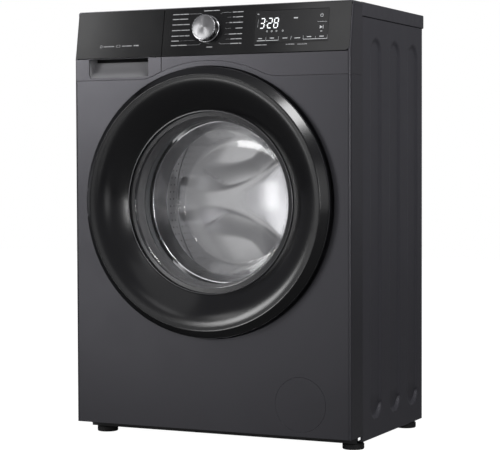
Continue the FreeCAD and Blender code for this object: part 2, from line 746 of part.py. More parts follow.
def heater():
    """The bent heating rod in the sump, on its flange in the tub's front wall."""
    rods = [rod(f"heater_rod_{index}", "y", (x, "209"), "4", "tub_front - 6", "-14")
            for index, x in enumerate(("-24", "24"))]
    bend = rod("heater_bend", "x", ("-18", "209"), "4", "-24", "24")
    flange = block("heater_flange", ("-36", "36"), ("tub_front - 5", "tub_front - 0.2"), ("200", "219"))
    return fuse("heater", *rods, bend, flange)


def bearing(name, span):
    return tube(name, "y", ("0", "axis_height"), "26", "shaft_radius + 0.05", *span)


BEARINGS = (("140.4", "150"), ("152", "161.6"))


def motor_body():
    """The motor's can under the tub, with its carrying arms."""
    centre = ("motor_across", "motor_height")
    can = rod("motor_can", "y", centre, "motor_radius", "30", "150")
    arms = [block(f"motor_arm_{index}", (low, high), ("50", "130"), ("motor_height", "255"))
            for index, (low, high) in enumerate((("66", "72"), ("148", "154")))]
    tub_space = rod("motor_tub_space", "y", ("0", "axis_height"), "tub_radius + 0.2", "20", "160")
    bore = rod("motor_bore", "y", centre, "6.05", "20", "160")
    return cut("motor_body", fuse("motor_solid", can, *arms), tub_space, bore)


def motor_pulley():
    centre = ("motor_across", "motor_height")
    pulley = rod("rotor_pulley", "y", centre, "motor_pulley_radius", "pulley_front - 1",
                 "pulley_back + 1")
    shaft = rod("rotor_shaft", "y", centre, "6", "20", "pulley_back")
    return fuse("motor_pulley", pulley, shaft)


def belt_loop(name, extra, low, high):
    """The solid bounded by a belt run round both pulleys at a distance from them."""
    big = value_of(f"pulley_radius + {extra}")
    small = value_of(f"motor_pulley_radius + {extra}")
    top = VECTOR(0, 0, value_of("axis_height"))
    low_centre = VECTOR(value_of("motor_across"), 0, value_of("motor_height"))
    line = low_centre - top
    heading = math.atan2(line.z, line.x)
    opening = math.acos((big - small) / line.Length)

    def on_circle(centre, radius, angle):
        return centre + VECTOR(math.cos(angle), 0, math.sin(angle)) * radius

    sides = [heading + opening, heading - opening]
    corners = [(on_circle(top, big, angle), on_circle(low_centre, small, angle)) for angle in sides]
    edges = [
        Part.Arc(corners[0][0], on_circle(top, big, heading + math.pi), corners[1][0]).toShape(),
        Part.LineSegment(corners[1][0], corners[1][1]).toShape(),
        Part.Arc(corners[1][1], on_circle(low_centre, small, heading), corners[0][1]).toShape(),
        Part.LineSegment(corners[0][1], corners[0][0]).toShape()]
    face = Part.Face(Part.Wire(edges))
    feature = doc.addObject("Part::Feature", name)
    feature.Shape = face.extrude(VECTOR(0, value_of(high) - value_of(low), 0))
    feature.Placement = FreeCAD.Placement(VECTOR(0, value_of(low), 0), FreeCAD.Rotation())
    return feature


def drive_belt():
    return cut("drive_belt",
               belt_loop("belt_outside", "belt_gap + belt_thick", "168", "178"),
               belt_loop("belt_inside", "belt_gap", "167", "179"))


def damper_rod(name, place):
    return rod(name, "z", place, "6", "130", "305")


def spring(name, x):
    """A coil spring from a tub ear to the brace, as a tube of the coil's size."""
    return tube(name, "z", (x, "spring_depth"), "14", "10", "606", "798.5")


def tub_bolt(name, angle):
    """A clamp bolt across the joint of the two tub halves."""
    radius = value_of("tub_radius") + 5
    x = f"{radius * math.cos(math.radians(angle)):.3f}"
    z = f"axis_height + {radius * math.sin(math.radians(angle)):.3f}"
    shank = rod(name + "_shank", "y", (x, z), "3", "-12", "12")
    heads = [rod(f"{name}_head_{index}", "y", (x, z), "4.8", *span)
             for index, span in enumerate((("-14", "-9"), ("9", "14")))]
    return fuse(name, shank, *heads)


BOLT_ANGLES = [15, 50, 130, 165, 197, 248, 335]


# ---------------------------------------------------------------- drum
def drum_shell():
    return lathe("drum_shell", [
        ("drum_opening", "drum_front"), ("drum_radius", "drum_front"),
        ("drum_radius", "drum_rear"), ("drum_radius - drum_sheet", "drum_rear"),
        ("drum_radius - drum_sheet", "drum_front + drum_sheet"),
        ("drum_opening", "drum_front + drum_sheet")])


def drum_back():
    """The pressed rear wall of the drum, raised in three arms about its hub."""
    disc = rod("back_disc", "y", ("0", "axis_height"), "drum_radius - drum_sheet - 0.1",
               "drum_rear - 2", "drum_rear")
    arms = [drum_arm(f"back_arm_{index}", angle, "34", "14", "drum_rear - 9", "drum_rear - 1.5", "225")
            for index, angle in enumerate((60, 180, 300))]
    hub = rod("back_hub", "y", ("0", "axis_height"), "58", "drum_rear - 9", "drum_rear - 1.5")
    return fuse("drum_back", disc, hub, *arms)


def drum_arm(name, angle, wide, narrow, low, high, reach):
    """A bar from the drum's axis outwards, at an angle anticlockwise from +X."""
    arm = doc.addObject("Part::Box", name)
    bind(arm, "Length", reach)
    bind(arm, "Width", f"({high}) - ({low})")
    bind(arm, "Height", wide)
    turn = FreeCAD.Rotation(VECTOR(0, 1, 0), -angle)
    offset = turn.multVec(VECTOR(0, 0, -value_of(wide) / 2))
    bind_place(arm, f"{offset.x:.6f}", low, f"axis_height + {offset.z:.6f}", turn)
    return arm


def lifter(name, angle):
    """A hollow ridge on the drum's wall that lifts the wash."""
    ridge = doc.addObject("Part::Wedge", name)
    for prop, expression in (("Xmin", "-22"), ("Xmax", "22"), ("X2min", "-9"), ("X2max", "9"),
                             ("Ymin", "0"), ("Ymax", "38"), ("Zmin", "0"), ("Zmax", "200"),
                             ("Z2min", "8"), ("Z2max", "192")):
        ridge.setExpression(prop, expression)
    # the wedge's own Y points at the axis, and its own Z runs along the drum
    outward = VECTOR(math.cos(math.radians(angle)), 0, math.sin(math.radians(angle)))
    along = VECTOR(0, 1, 0)
    inward = outward * -1
    turn = FreeCAD.Rotation(inward.cross(along), inward, along, "ZXY")
    foot_point = outward * (value_of("drum_radius - drum_sheet") - 1.1)
    bind_place(ridge, f"{foot_point.x:.6f}", "drum_front + 10", f"axis_height + {foot_point.z:.6f}",
               turn)
    return ridge


def drum_spider():
    """The cast three-armed spider behind the drum, with its shaft."""
    hub = rod("spider_hub", "y", ("0", "axis_height"), "34", "drum_rear + 0.2", "136")
    shaft = rod("spider_shaft", "y", ("0", "axis_height"), "shaft_radius", "130", "pulley_back + 4")
    arms = [drum_arm(f"spider_arm_{index}", angle, "26", "26", "drum_rear + 0.2", "drum_rear + 9",
                     "232") for index, angle in enumerate((60, 180, 300))]
    return fuse("drum_spider", hub, shaft, *arms)


def drum_pulley():
    """The spoked pulley on the drum's shaft, with its nut."""
    rim = ring("pulley_rim", "pulley_radius", "pulley_radius - 10", "pulley_front", "pulley_back")
    hub = ring("pulley_hub", "24", "shaft_radius + 0.02", "pulley_front", "pulley_back")
    spokes = [drum_arm(f"pulley_spoke_{index}", angle, "16", "16", "pulley_front + 4",
                       "pulley_back - 4", "pulley_radius - 5")
              for index, angle in enumerate(range(0, 360, 60))]
    centre = rod("pulley_centre", "y", ("0", "axis_height"), "20", "pulley_front - 1",
                 "pulley_back + 1")
    return fuse("drum_pulley", rim, hub, cut("pulley_spokes", fuse("pulley_star", *spokes), centre))


# ---------------------------------------------------------------- door
def hinge_space(name):
    """The room inside the door for a hinge lug and its eye, at both lug heights."""
    rooms = [block(f"{name}_{index}", ("hinge_across - 17", "hinge_across + 5.2"),
                   ("hinge_depth - 10.8", "hinge_depth + 16"),
                   (f"axis_height + {side} * hinge_lug - 2.2", f"axis_height + {side} * hinge_lug + 2.2"))
             for index, side in enumerate((-1, 1))]
    return fuse(name, *rooms)


def door_ring():
    """The wide outer ring, whose face falls in a funnel to the glass."""
    shell = lathe("door_ring_shell", [
        ("window_radius", "-186"), ("185", "-189.6"), ("205", "-200"), ("228", "-212"),
        ("rim_radius - 3", "-218.8"), ("rim_radius", "ring_front"),
        ("rim_radius + 4", "-218.6"), ("ring_radius - 1", "-212.5"), ("ring_radius", "-210"),
        ("ring_radius - 3", "front_plane"), ("ring_radius - 6", "front_plane"),
        ("ring_radius - 5", "-209"), ("rim_radius + 2", "-215"), ("rim_radius - 4", "-215"),
        ("228", "-208"), ("205", "-196.5"), ("189", "-188.2"), ("window_radius", "-184.6")])
    return cut("door_outer_ring", shell, hinge_space("ring_hinge_space"))


def door_inner_frame():
    """The frame behind the ring that holds the glass, the pin and the hook."""
    frame = lathe("door_frame_shell", [
        ("186.5", "-184.2"), ("189.5", "-187.6"), ("205.5", "-196"), ("228", "-207.6"),
        ("rim_radius - 4", "-214.6"), ("rim_radius + 2", "-214.6"), ("ring_radius - 6.5", "-207"),
        ("ring_radius - 6.5", "front_plane"), ("ring_radius - 9", "-187.8"),
        ("205", "-184.2")])
    pin_bore = rod("frame_pin_bore", "z", ("hinge_across", "hinge_depth"), "pin_radius",
                   "axis_height - hinge_lug - 14", "axis_height + hinge_lug + 14")
    hook_room = block("frame_hook_room", ("latch_across - 9", "latch_across + 9"), ("-203", "-180"),
                      ("axis_height - 10", "axis_height + 10"))
    return cut("door_inner_frame", frame, hinge_space("frame_hinge_space"), pin_bore, hook_room)


def hinge_pin():
    return rod("hinge_pin", "z", ("hinge_across", "hinge_depth"), "pin_radius",
               "axis_height - hinge_lug - 13.5", "axis_height + hinge_lug + 13.5")


def door_glass():
    """The deep bowl of glass, flanged where the frame grips it."""
    return lathe("door_glass", [
        ("186", "-184.3"), ("186", "-181.5"), ("166", "-181.3"), ("150", "-145"),
        ("146", "-135"), ("134", "-45"), ("128", "-39.5"), ("60", "-36.5"), ("0", "-36"),
        ("0", "-40.5"), ("60", "-41"), ("124", "-44"), ("129.6", "-48"), ("141.6", "-135.8"),
        ("146", "-146.4"), ("162", "-184.3")])


def latch_hook():
    """The sprung hook on the door's free side that catches in the lock."""
    shank = block("hook_shank", ("latch_across - 3", "latch_across + 3"), ("-202", "-162"),
                  ("axis_height - 7", "axis_height + 7"))
    barb = block("hook_barb", ("latch_across - 7", "latch_across + 3"), ("-168", "-162"),
                 ("axis_height - 7", "axis_height + 7"))
    barrel = rod("hook_barrel", "z", ("latch_across", "latch_depth"), "5", "axis_height - 9",
                 "axis_height + 9")
    return fuse("latch_hook", shank, barb, barrel)


# ---------------------------------------------------------------- drawer and knob
def drawer_front():
    """The black upper part of the drawer's front, in line with the console."""
    return leaning_box("drawer_front", ("-half_width + 3.4", "drawer_seam - 0.4"), ("0", "3"),
                       ("0.4", slope("height - 2.4")))


def drawer_grip():
    """The grey lower part, with the finger scoop that curves up behind the black face."""
    lower = plate("grip_solid", "YZ", [
        ("front_plane", "fascia_bottom + 1.2"), ("bezel_back - 8", "fascia_bottom + 1.2"),
        ("bezel_back - 8", "height - 12"), ("front_plane + console_lean + 4", "height - 12"),
        ("front_plane + 3.6", "console_bottom - 1.6"), ("front_plane", "console_bottom - 0.9")],
        "-half_width + 3.6", "drawer_seam - 0.6")
    hollow = plate("grip_hollow", "YZ", [
        ("front_plane + 3", "fascia_bottom + 4"), ("bezel_back - 11", "fascia_bottom + 4"),
        ("bezel_back - 11", "height - 15"), ("front_plane + console_lean + 6", "height - 15"),
        ("front_plane + 7", "console_bottom + 1")], "scoop_right + 3", "drawer_seam - 4")
    left_hollow = plate("grip_left_hollow", "YZ", [
        ("front_plane + 3", "fascia_bottom + 4"), ("bezel_back - 11", "fascia_bottom + 4"),
        ("bezel_back - 11", "height - 15"), ("front_plane + console_lean + 6", "height - 15"),
        ("front_plane + 7", "console_bottom + 1")], "-half_width + 7", "scoop_left - 3")
    scoop = plate("grip_scoop", "YZ", [
        ("front_plane - 1", "fascia_bottom + 5.5"), ("front_plane + 8", "fascia_bottom + 7"),
        ("front_plane + 22", "fascia_bottom + 14"), ("front_plane + 34", "fascia_bottom + 27"),
        ("front_plane + 40", "fascia_bottom + 44"), ("front_plane + 40", "fascia_bottom + 62"),
        ("front_plane + 12", "fascia_bottom + 62"), ("front_plane + 3.6", "console_bottom + 0.6"),
        ("front_plane - 1", "console_bottom + 0.6")], "scoop_left", "scoop_right")
    arc = rod("grip_arc", "y", ("0", "axis_height"), "console_arc + 0.6", "front_plane - 1",
              "bezel_back")
    return cut("drawer_grip", lower, hollow, left_hollow, scoop, arc)


def drawer_tray():
    """The tray with its three compartments."""
    outside = block("tray_outside", ("-287.5", "drawer_seam - 7.5"), ("bezel_back - 7.5", "-14"),
                    ("housing_bottom + 4", "790"))
    wells = [block(f"tray_well_{index}", span, ("bezel_back - 5", "-16.5"),
                   ("housing_bottom + 7", "792"))
             for index, span in enumerate((("-285", "-208"), ("-205", "-162"), ("-159", "-111")))]
    return cut("drawer_tray", outside, *wells)


def program_knob():
    """The spun-metal program knob on its stem, square to the leaning face."""
    shift = FreeCAD.Rotation(VECTOR(1, 0, 0), -LEAN)
    place = shift.multVec(VECTOR(0, 0, value_of(slope("knob_height"))))
    return turned_up("program_knob", [
        ("0", "-6"), ("4", "-6"), ("4", "0.6"), ("knob_radius + 1.5", "0.6"),
        ("knob_radius + 1.5", "3"), ("knob_radius", "4"), ("knob_radius", "knob_length - 1"),
        ("knob_radius - 1", "knob_length"), ("0", "knob_length")],
        "knob_across", f"front_plane + {place.y:.6f}", f"console_bottom + {place.z:.6f}",
        FreeCAD.Rotation(VECTOR(1, 0, 0), 90 - LEAN))


# ---------------------------------------------------------------- the whole machine
left_side = keep(side_panel())
keep(mirrored("right_side_panel", left_side))
keep(front_panel())
keep(fascia())
keep(console_face())
keep(display_glass())
keep(control_board())
keep(top_panel())
keep(rear_panel())
keep(rear_cover())
keep(pattern("transit_plugs", transit_plug, TRANSIT))
keep(pattern("panel_screws", panel_screw, SCREWS))
keep(base_frame())
keep(top_brace())
keep(drawer_housing())
keep(inlet_valve())
keep(hose("inlet_hose", [("-230", "149.5", "780"), ("-230", "100", "780"), ("-170", "60", "775"),
                         ("-170", "-8", "775")], 9, 7.1))
keep(cord_gland())
keep(pressure_switch())
keep(pattern("damper_cylinders", damper_cylinder, DAMPERS))
keep(pump_housing())
keep(hose("drain_hose", [("250", "-60", "filter_height"), ("250", "20", "filter_height"),
                         ("248", "90", "100"), ("230", "160", "120"), ("230", "220", "120")], 11, 9.5))
keep(door_hinge())
keep(door_lock())
keep(gasket())
keep(ring("gasket_front_clamp", "182", "180.2", "-175", "-171"))

keep(tub_front(), "tub_front")
keep(tub_rear(), "tub_rear")
keep(ring("gasket_rear_clamp", "176", "174.2", "-136", "-132"))
keep(front_weight())
keep(upper_weight())
keep(heater())
keep(pattern("ball_bearings", bearing, BEARINGS))
keep(motor_body())
keep(drive_belt())
keep(pattern("damper_rods", damper_rod, DAMPERS))
keep(pattern("suspension_springs", spring, ("-spring_across", "spring_across")))
keep(pattern("tub_bolts", tub_bolt, BOLT_ANGLES))
keep(hose("sump_hose", [("78.5", "-100", "210"), ("150", "-100", "210"),
                        ("filter_across", "-110", "200"), ("filter_across", "-110", "140.5")],
          12.5, 10))

keep(drum_shell())
keep(drum_back())
keep(pattern("drum_lifters", lifter, (0, 120, 240)))
keep(drum_spider())
keep(drum_pulley())
keep(motor_pulley())

keep(door_ring())
keep(door_inner_frame())
keep(hinge_pin())
keep(door_glass())
keep(latch_hook())

keep(drawer_front())
keep(drawer_grip())
keep(drawer_tray())
keep(program_knob())
for foot_name, foot_place in zip(FOOT_NAMES, FEET):
    keep(foot(foot_name, foot_place))
keep(pump_filter())
keep(filter_cover())

doc.recompute()

failed = [obj.Name for obj in doc.Objects if {"Invalid", "Error"} & set(obj.State)]
if failed:
    raise RuntimeError("failed objects: " + ", ".join(failed))
bad = [obj.Label for obj in sub_parts
       if obj.Shape.isNull() or not obj.Shape.isValid() or not obj.Shape.Solids]
if bad:
    raise RuntimeError("bad shapes: " + ", ".join(bad))

os.makedirs("parts", exist_ok=True)
for obj in sub_parts:
    obj.Shape.exportStep(f"parts/{obj.Label}.step")
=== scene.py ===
import math

import bmesh
import bpy
from mathutils import Matrix, Vector


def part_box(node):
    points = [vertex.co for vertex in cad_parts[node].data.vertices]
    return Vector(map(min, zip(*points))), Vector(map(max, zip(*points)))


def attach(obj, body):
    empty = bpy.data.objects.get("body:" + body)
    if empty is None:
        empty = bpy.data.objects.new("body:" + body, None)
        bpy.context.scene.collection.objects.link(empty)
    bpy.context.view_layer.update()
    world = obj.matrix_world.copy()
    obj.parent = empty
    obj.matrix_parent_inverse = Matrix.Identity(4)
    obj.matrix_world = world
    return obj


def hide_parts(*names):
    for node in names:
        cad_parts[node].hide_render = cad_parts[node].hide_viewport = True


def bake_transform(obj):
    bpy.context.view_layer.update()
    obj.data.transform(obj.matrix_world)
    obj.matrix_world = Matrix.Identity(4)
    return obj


# The looks of a slim front-loading washing machine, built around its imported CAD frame.
# Metres, +Z up, +X to the right as seen from the front, and the front faces -Y.

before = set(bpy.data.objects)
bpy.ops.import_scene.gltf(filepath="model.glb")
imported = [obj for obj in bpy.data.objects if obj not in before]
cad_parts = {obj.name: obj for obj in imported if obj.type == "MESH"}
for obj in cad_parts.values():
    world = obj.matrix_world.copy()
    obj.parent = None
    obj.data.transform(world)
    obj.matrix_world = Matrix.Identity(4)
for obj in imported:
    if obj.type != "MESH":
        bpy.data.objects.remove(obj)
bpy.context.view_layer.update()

MM = 0.001

# ---- places taken from the frame
PANEL_LOW, PANEL_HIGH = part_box("front_panel")
HALF_WIDTH = PANEL_HIGH[0]
FRONT = PANEL_LOW[1]
BEZEL_BACK = PANEL_HIGH[1]
PANEL_BOTTOM = PANEL_LOW[2]
FASCIA_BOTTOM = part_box("fascia")[0][2]
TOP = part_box("fascia")[1][2]
GLASS_LOW, GLASS_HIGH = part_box("door_glass")
AXIS_Z = (GLASS_LOW[2] + GLASS_HIGH[2]) / 2
RING_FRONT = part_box("door_outer_ring")[0][1]
COVER_LOW, COVER_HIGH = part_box("filter_cover")
COVER_X = (COVER_LOW[0] + COVER_HIGH[0]) / 2
COVER_Z = (COVER_LOW[2] + COVER_HIGH[2]) / 2
COVER_RADIUS = 0.052
DISH_RADIUS = 0.2638
DISH_FLOOR = FRONT + 0.009
OPENING_RADIUS = 0.170
CONSOLE_Z = 0.755
CONSOLE_LEAN = 0.016
ARC_RADIUS = 0.2745
KNOB_ACROSS = -0.004
KNOB_HEIGHT = 0.806
SHAFT_ALONG = 0.0519
PRINT_SHIFT = 0.0033
DRAWER_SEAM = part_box("console_face")[0][0] - 0.0007
CORNER = 0.0055
SHEET = 0.0012
LEAN = math.atan2(CONSOLE_LEAN, TOP - CONSOLE_Z)
UP_SLOPE = Vector((0, math.sin(LEAN), math.cos(LEAN)))
INTO_SLOPE = Vector((0, math.cos(LEAN), -math.sin(LEAN)))
SLOPE_LENGTH = (TOP - CONSOLE_Z) / math.cos(LEAN)
KNOB_SLOPE = (KNOB_HEIGHT - CONSOLE_Z) / math.cos(LEAN)


def on_console(across, along, into=0.0):
    """A point of the leaning console: across, up the slope, and into the machine."""
    return Vector((across, FRONT, CONSOLE_Z)) + UP_SLOPE * along + INTO_SLOPE * into


# ---- materials
def parts_of(made):
    """The nodes and the links of a material or a world."""
    made.use_nodes = True
    return made.node_tree.nodes, made.node_tree.links


def added(nodes, kind, **values):
    """A new shader node with some inputs set. An underscore stands for a space."""
    node = nodes.new("ShaderNode" + kind)
    for socket, value in values.items():
        node.inputs[socket.replace("_", " ")].default_value = value
    return node


def material(name, colour, metallic=0.0, roughness=0.5, mottle=(40, 0.04), tint=(6, 0.05),
             grain=(1500, 0.02), **sockets):
    """A principled surface whose colour, roughness and bump come from three noises.

    mottle is (scale, amount) for the roughness, tint for the colour's slow change and grain
    for the bump, whose amount is in millimetres.
    """
    made = bpy.data.materials.new(name)
    nodes, links = parts_of(made)
    shader = nodes["Principled BSDF"]
    shader.inputs["Metallic"].default_value = metallic
    for socket, value in sockets.items():
        shader.inputs[socket.replace("_", " ")].default_value = value
    place = nodes.new("ShaderNodeTexCoord")

    def noise(scale, detail=3.0):
        texture = added(nodes, "TexNoise", Scale=scale, Detail=detail)
        links.new(place.outputs["Object"], texture.inputs["Vector"])
        return texture.outputs["Fac"]

    def spread(source, low, high):
        step = added(nodes, "MapRange", From_Min=0.3, From_Max=0.7, To_Min=low, To_Max=high)
        links.new(source, step.inputs["Value"])
        return step.outputs["Result"]

    mix = nodes.new("ShaderNodeMix")
    mix.data_type = "RGBA"
    dark = [channel * (1 - tint[1]) for channel in colour]
    light = [min(1, channel * (1 + tint[1])) for channel in colour]
    mix.inputs[6].default_value = (*dark, 1)
    mix.inputs[7].default_value = (*light, 1)
    links.new(spread(noise(tint[0]), 0, 1), mix.inputs[0])
    links.new(mix.outputs[2], shader.inputs["Base Color"])
    rough = spread(noise(mottle[0]), max(0.02, roughness - mottle[1]), roughness + mottle[1])
    links.new(rough, shader.inputs["Roughness"])
    bump = added(nodes, "Bump", Strength=1.0, Distance=grain[1] * MM)
    links.new(noise(grain[0], 2.0), bump.inputs["Height"])
    links.new(bump.outputs["Normal"], shader.inputs["Normal"])
    return made


def clear_glass(name):
    """Thin clear glass: see-through face on, reflecting more towards its edges."""
    made = bpy.data.materials.new(name)
    nodes, links = parts_of(made)
    nodes.remove(nodes["Principled BSDF"])
    output = nodes["Material Output"]
    clear = added(nodes, "BsdfTransparent", Color=(0.945, 0.945, 0.948, 1))
    shine = added(nodes, "BsdfGlossy", Color=(1, 1, 1, 1))
    place = nodes.new("ShaderNodeTexCoord")
    smear = added(nodes, "TexNoise", Scale=22)
    links.new(place.outputs["Object"], smear.inputs["Vector"])
    rough = added(nodes, "MapRange", To_Min=0.02, To_Max=0.07)
    links.new(smear.outputs["Fac"], rough.inputs["Value"])
    links.new(rough.outputs["Result"], shine.inputs["Roughness"])
    edge = added(nodes, "Fresnel", IOR=1.5)
    # a skin seen from behind only lets light out
    behind = nodes.new("ShaderNodeNewGeometry")
    front_only = nodes.new("ShaderNodeMix")
    links.new(behind.outputs["Backfacing"], front_only.inputs[0])
    links.new(edge.outputs["Fac"], front_only.inputs[2])
    front_only.inputs[3].default_value = 0.02
    mix = nodes.new("ShaderNodeMixShader")
    links.new(front_only.outputs[0], mix.inputs["Fac"])
    links.new(clear.outputs["BSDF"], mix.inputs[1])
    links.new(shine.outputs["BSDF"], mix.inputs[2])
    links.new(mix.outputs["Shader"], output.inputs["Surface"])
    return made


def glow(name, colour, strength):
    """A pale surface that gives off a little light of its own: a lamp for the display's lit digits
    and marks, and a painted glow on the printed labels, which are no lamp.
    """
    made = material(name, colour, roughness=0.4, grain=(2500, 0.003))
    shader = made.node_tree.nodes["Principled BSDF"]
    shader.inputs["Emission Color"].default_value = (*colour, 1)
    shader.inputs["Emission Strength"].default_value = strength
    return made


PAINT = material("cabinet_paint", (0.056, 0.055, 0.062), metallic=0.6, roughness=0.34,
                 mottle=(14, 0.02), tint=(3, 0.03), grain=(2600, 0.010))
SIDE_PAINT = material("side_paint", (0.055, 0.054, 0.063), metallic=0.35, roughness=0.42,
                      mottle=(14, 0.02), tint=(3, 0.03), grain=(2600, 0.012))
FASCIA = material("fascia_plastic", (0.062, 0.0605, 0.068), metallic=0.6, roughness=0.35,
                  mottle=(20, 0.02), tint=(4, 0.03), grain=(3200, 0.008))
# The scoop is the fascia's grey plastic painted several times lighter: painted light on its ramp,
# which faces up into the lamps.
SCOOP_PAINTED_LIGHT = material("scoop_plastic_painted_light", (0.27, 0.268, 0.278), metallic=0.1, roughness=0.5,
                 mottle=(20, 0.02), tint=(4, 0.03), grain=(3200, 0.008))
CONSOLE_BLACK = material("console_black", (0.0045, 0.0045, 0.0047), roughness=0.14,
                         mottle=(9, 0.02), grain=(3000, 0.0003))
RING_BLACK = material("ring_black", (0.0055, 0.0055, 0.0062), roughness=0.2,
                      mottle=(9, 0.02), grain=(2400, 0.006))
DISPLAY_BLACK = material("display_black", (0.004, 0.004, 0.0045), roughness=0.2,
                         mottle=(9, 0.02), grain=(3000, 0.0002))
BEAD = material("bead_satin", (0.12, 0.12, 0.125), metallic=1.0, roughness=0.36,
                grain=(1500, 0.003))
WORKTOP = material("worktop_laminate", (0.058, 0.057, 0.065), roughness=0.45, metallic=0.2,
                   mottle=(60, 0.04), grain=(1500, 0.02))
BLACK_PLASTIC = material("black_plastic", (0.012, 0.012, 0.013), roughness=0.5,
                         grain=(1400, 0.03))
# Near-black for the boxes set in the scoop's hollow: painted shade where the hollow lies in shadow.
PAINTED_SHADE = material("painted_shade_slot", (0.004, 0.004, 0.004), roughness=0.8)
BLACK_RUBBER = material("black_rubber", (0.014, 0.014, 0.014), roughness=0.7,
                        grain=(900, 0.05))
GREY_RUBBER = material("grey_rubber", (0.14, 0.14, 0.143), roughness=0.42,
                       mottle=(30, 0.08), grain=(700, 0.04))
WHITE_PLASTIC = material("white_plastic", (0.62, 0.63, 0.63), roughness=0.4,
                         grain=(1200, 0.02))
TUB_PLASTIC = material("tub_plastic", (0.16, 0.165, 0.17), roughness=0.5,
                       grain=(800, 0.05))
CIRCUIT = material("circuit_board", (0.012, 0.09, 0.03), roughness=0.45,
                   tint=(120, 0.4), grain=(500, 0.1))
ZINC = material("zinc_sheet", (0.42, 0.43, 0.44), metallic=0.9, roughness=0.4,
                mottle=(35, 0.12), tint=(25, 0.15), grain=(300, 0.02))
DRUM_STEEL = material("drum_steel", (0.68, 0.68, 0.69), metallic=1.0, roughness=0.2,
                      mottle=(12, 0.05), tint=(8, 0.05), grain=(1200, 0.006))
SPRING_STEEL = material("spring_steel", (0.18, 0.18, 0.19), metallic=0.9, roughness=0.4)
CAST = material("cast_aluminium", (0.45, 0.45, 0.46), metallic=0.9, roughness=0.5,
                grain=(600, 0.08))
CONCRETE = material("concrete", (0.32, 0.31, 0.29), roughness=0.85, tint=(60, 0.2),
                    grain=(250, 0.3))
KNOB_SIDE = material("knob_side", (0.42, 0.42, 0.43), metallic=1.0, roughness=0.24,
                     grain=(1800, 0.004))
# The printed labels are pale ink that also gives off a faint painted glow; they are no lamp.
PRINT_PAINTED_GLOW = glow("pale_print_painted_glow", (0.42, 0.42, 0.43), 0.05)
DIGITS = glow("lit_digits", (0.85, 0.87, 0.88), 0.75)
BOWL_GLASS = clear_glass("bowl_glass")


def knob_metal():
    """Spun aluminium: fine rings, and a grain that runs round the face."""
    made = material("knob_metal", (0.27, 0.27, 0.275), metallic=1.0, roughness=0.34,
                    grain=(1500, 0.003), Anisotropic=0.9)
    nodes, links = parts_of(made)
    shader = nodes["Principled BSDF"]
    tangent = nodes.new("ShaderNodeTangent")
    tangent.direction_type = "RADIAL"
    tangent.axis = "Z"
    links.new(tangent.outputs["Tangent"], shader.inputs["Tangent"])
    rings = added(nodes, "TexWave", Scale=900, Distortion=1.5)
    rings.wave_type = "RINGS"
    rings.rings_direction = "Z"
    links.new(nodes["Texture Coordinate"].outputs["Object"], rings.inputs["Vector"])
    links.new(rings.outputs["Fac"], nodes["Bump"].inputs["Height"])
    return made


KNOB_METAL = knob_metal()


def drum_wall():
    """Drum steel with the rows of small drain holes drawn in as dark, sunk dots."""
    made = material("drum_wall_steel", (0.55, 0.55, 0.56), metallic=0.6, roughness=0.4,
                    grain=(1200, 0.006))
    nodes, links = parts_of(made)
    shader = nodes["Principled BSDF"]
    holes_round = 96
    pitch = 0.0155

    def maths(operation, first, second):
        step = nodes.new("ShaderNodeMath")
        step.operation = operation
        for socket, value in zip(step.inputs, (first, second)):
            if isinstance(value, (int, float)):
                socket.default_value = value
            else:
                links.new(value, socket)
        return step.outputs[0]

    split = nodes.new("ShaderNodeSeparateXYZ")
    links.new(nodes["Texture Coordinate"].outputs["Object"], split.inputs["Vector"])
    turn = maths("ARCTAN2", maths("SUBTRACT", split.outputs["Z"], AXIS_Z), split.outputs["X"])
    unrolled = nodes.new("ShaderNodeCombineXYZ")
    links.new(maths("MULTIPLY", turn, holes_round / (2 * math.pi)), unrolled.inputs["X"])
    links.new(maths("DIVIDE", split.outputs["Y"], pitch), unrolled.inputs["Y"])
    cells = added(nodes, "TexVoronoi", Scale=1, Randomness=0)
    cells.voronoi_dimensions = "2D"
    links.new(unrolled.outputs["Vector"], cells.inputs["Vector"])
    hole = maths("LESS_THAN", cells.outputs["Distance"], 0.12)
    steel = shader.inputs["Base Color"].links[0].from_socket
    sunk = nodes.new("ShaderNodeMix")
    sunk.data_type = "RGBA"
    links.new(hole, sunk.inputs[0])
    links.new(steel, sunk.inputs[6])
    sunk.inputs[7].default_value = (0.01, 0.01, 0.01, 1)
    links.new(sunk.outputs[2], shader.inputs["Base Color"])
    return made


DRUM_WALL = drum_wall()


# ---- shapes
def placed(name, data):
    """A new object in the scene for a mesh, curve, light or camera."""
    piece = bpy.data.objects.new(name, data)
    bpy.context.scene.collection.objects.link(piece)
    return piece


def surfaced(mesh, surface, sharp):
    """The mesh in one material, smooth but for the edges sharper than an angle."""
    mesh.materials.clear()
    mesh.materials.append(surface)
    mesh.polygons.foreach_set("use_smooth", [True] * len(mesh.polygons))
    mesh.set_sharp_from_angle(angle=math.radians(sharp))
    return mesh


def finish_mesh(name, mesh, body, surface, replaces=(), sharp=35):
    """Puts a mesh, or a list of meshes joined, in the scene, riding on its body.

    Weighted normals keep each broad flat face flat beside its rounded edges. A piece
    with no body is left loose.
    """
    if isinstance(mesh, list):
        mesh = joined(name, mesh)
    piece = placed(name, surfaced(mesh, surface, sharp))
    even = piece.modifiers.new("even", "WEIGHTED_NORMAL")
    even.keep_sharp = True
    if body is not None:
        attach(piece, body)
    for node in replaces:
        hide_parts(node)
    return piece


def joined(name, meshes):
    """One mesh from several, whose points stay apart."""
    whole = bmesh.new()
    for mesh in meshes:
        whole.from_mesh(mesh)
        bpy.data.meshes.remove(mesh)
    bmesh.ops.recalc_face_normals(whole, faces=whole.faces)
    mesh = bpy.data.meshes.new(name)
    whole.to_mesh(mesh)
    whole.free()
    return mesh


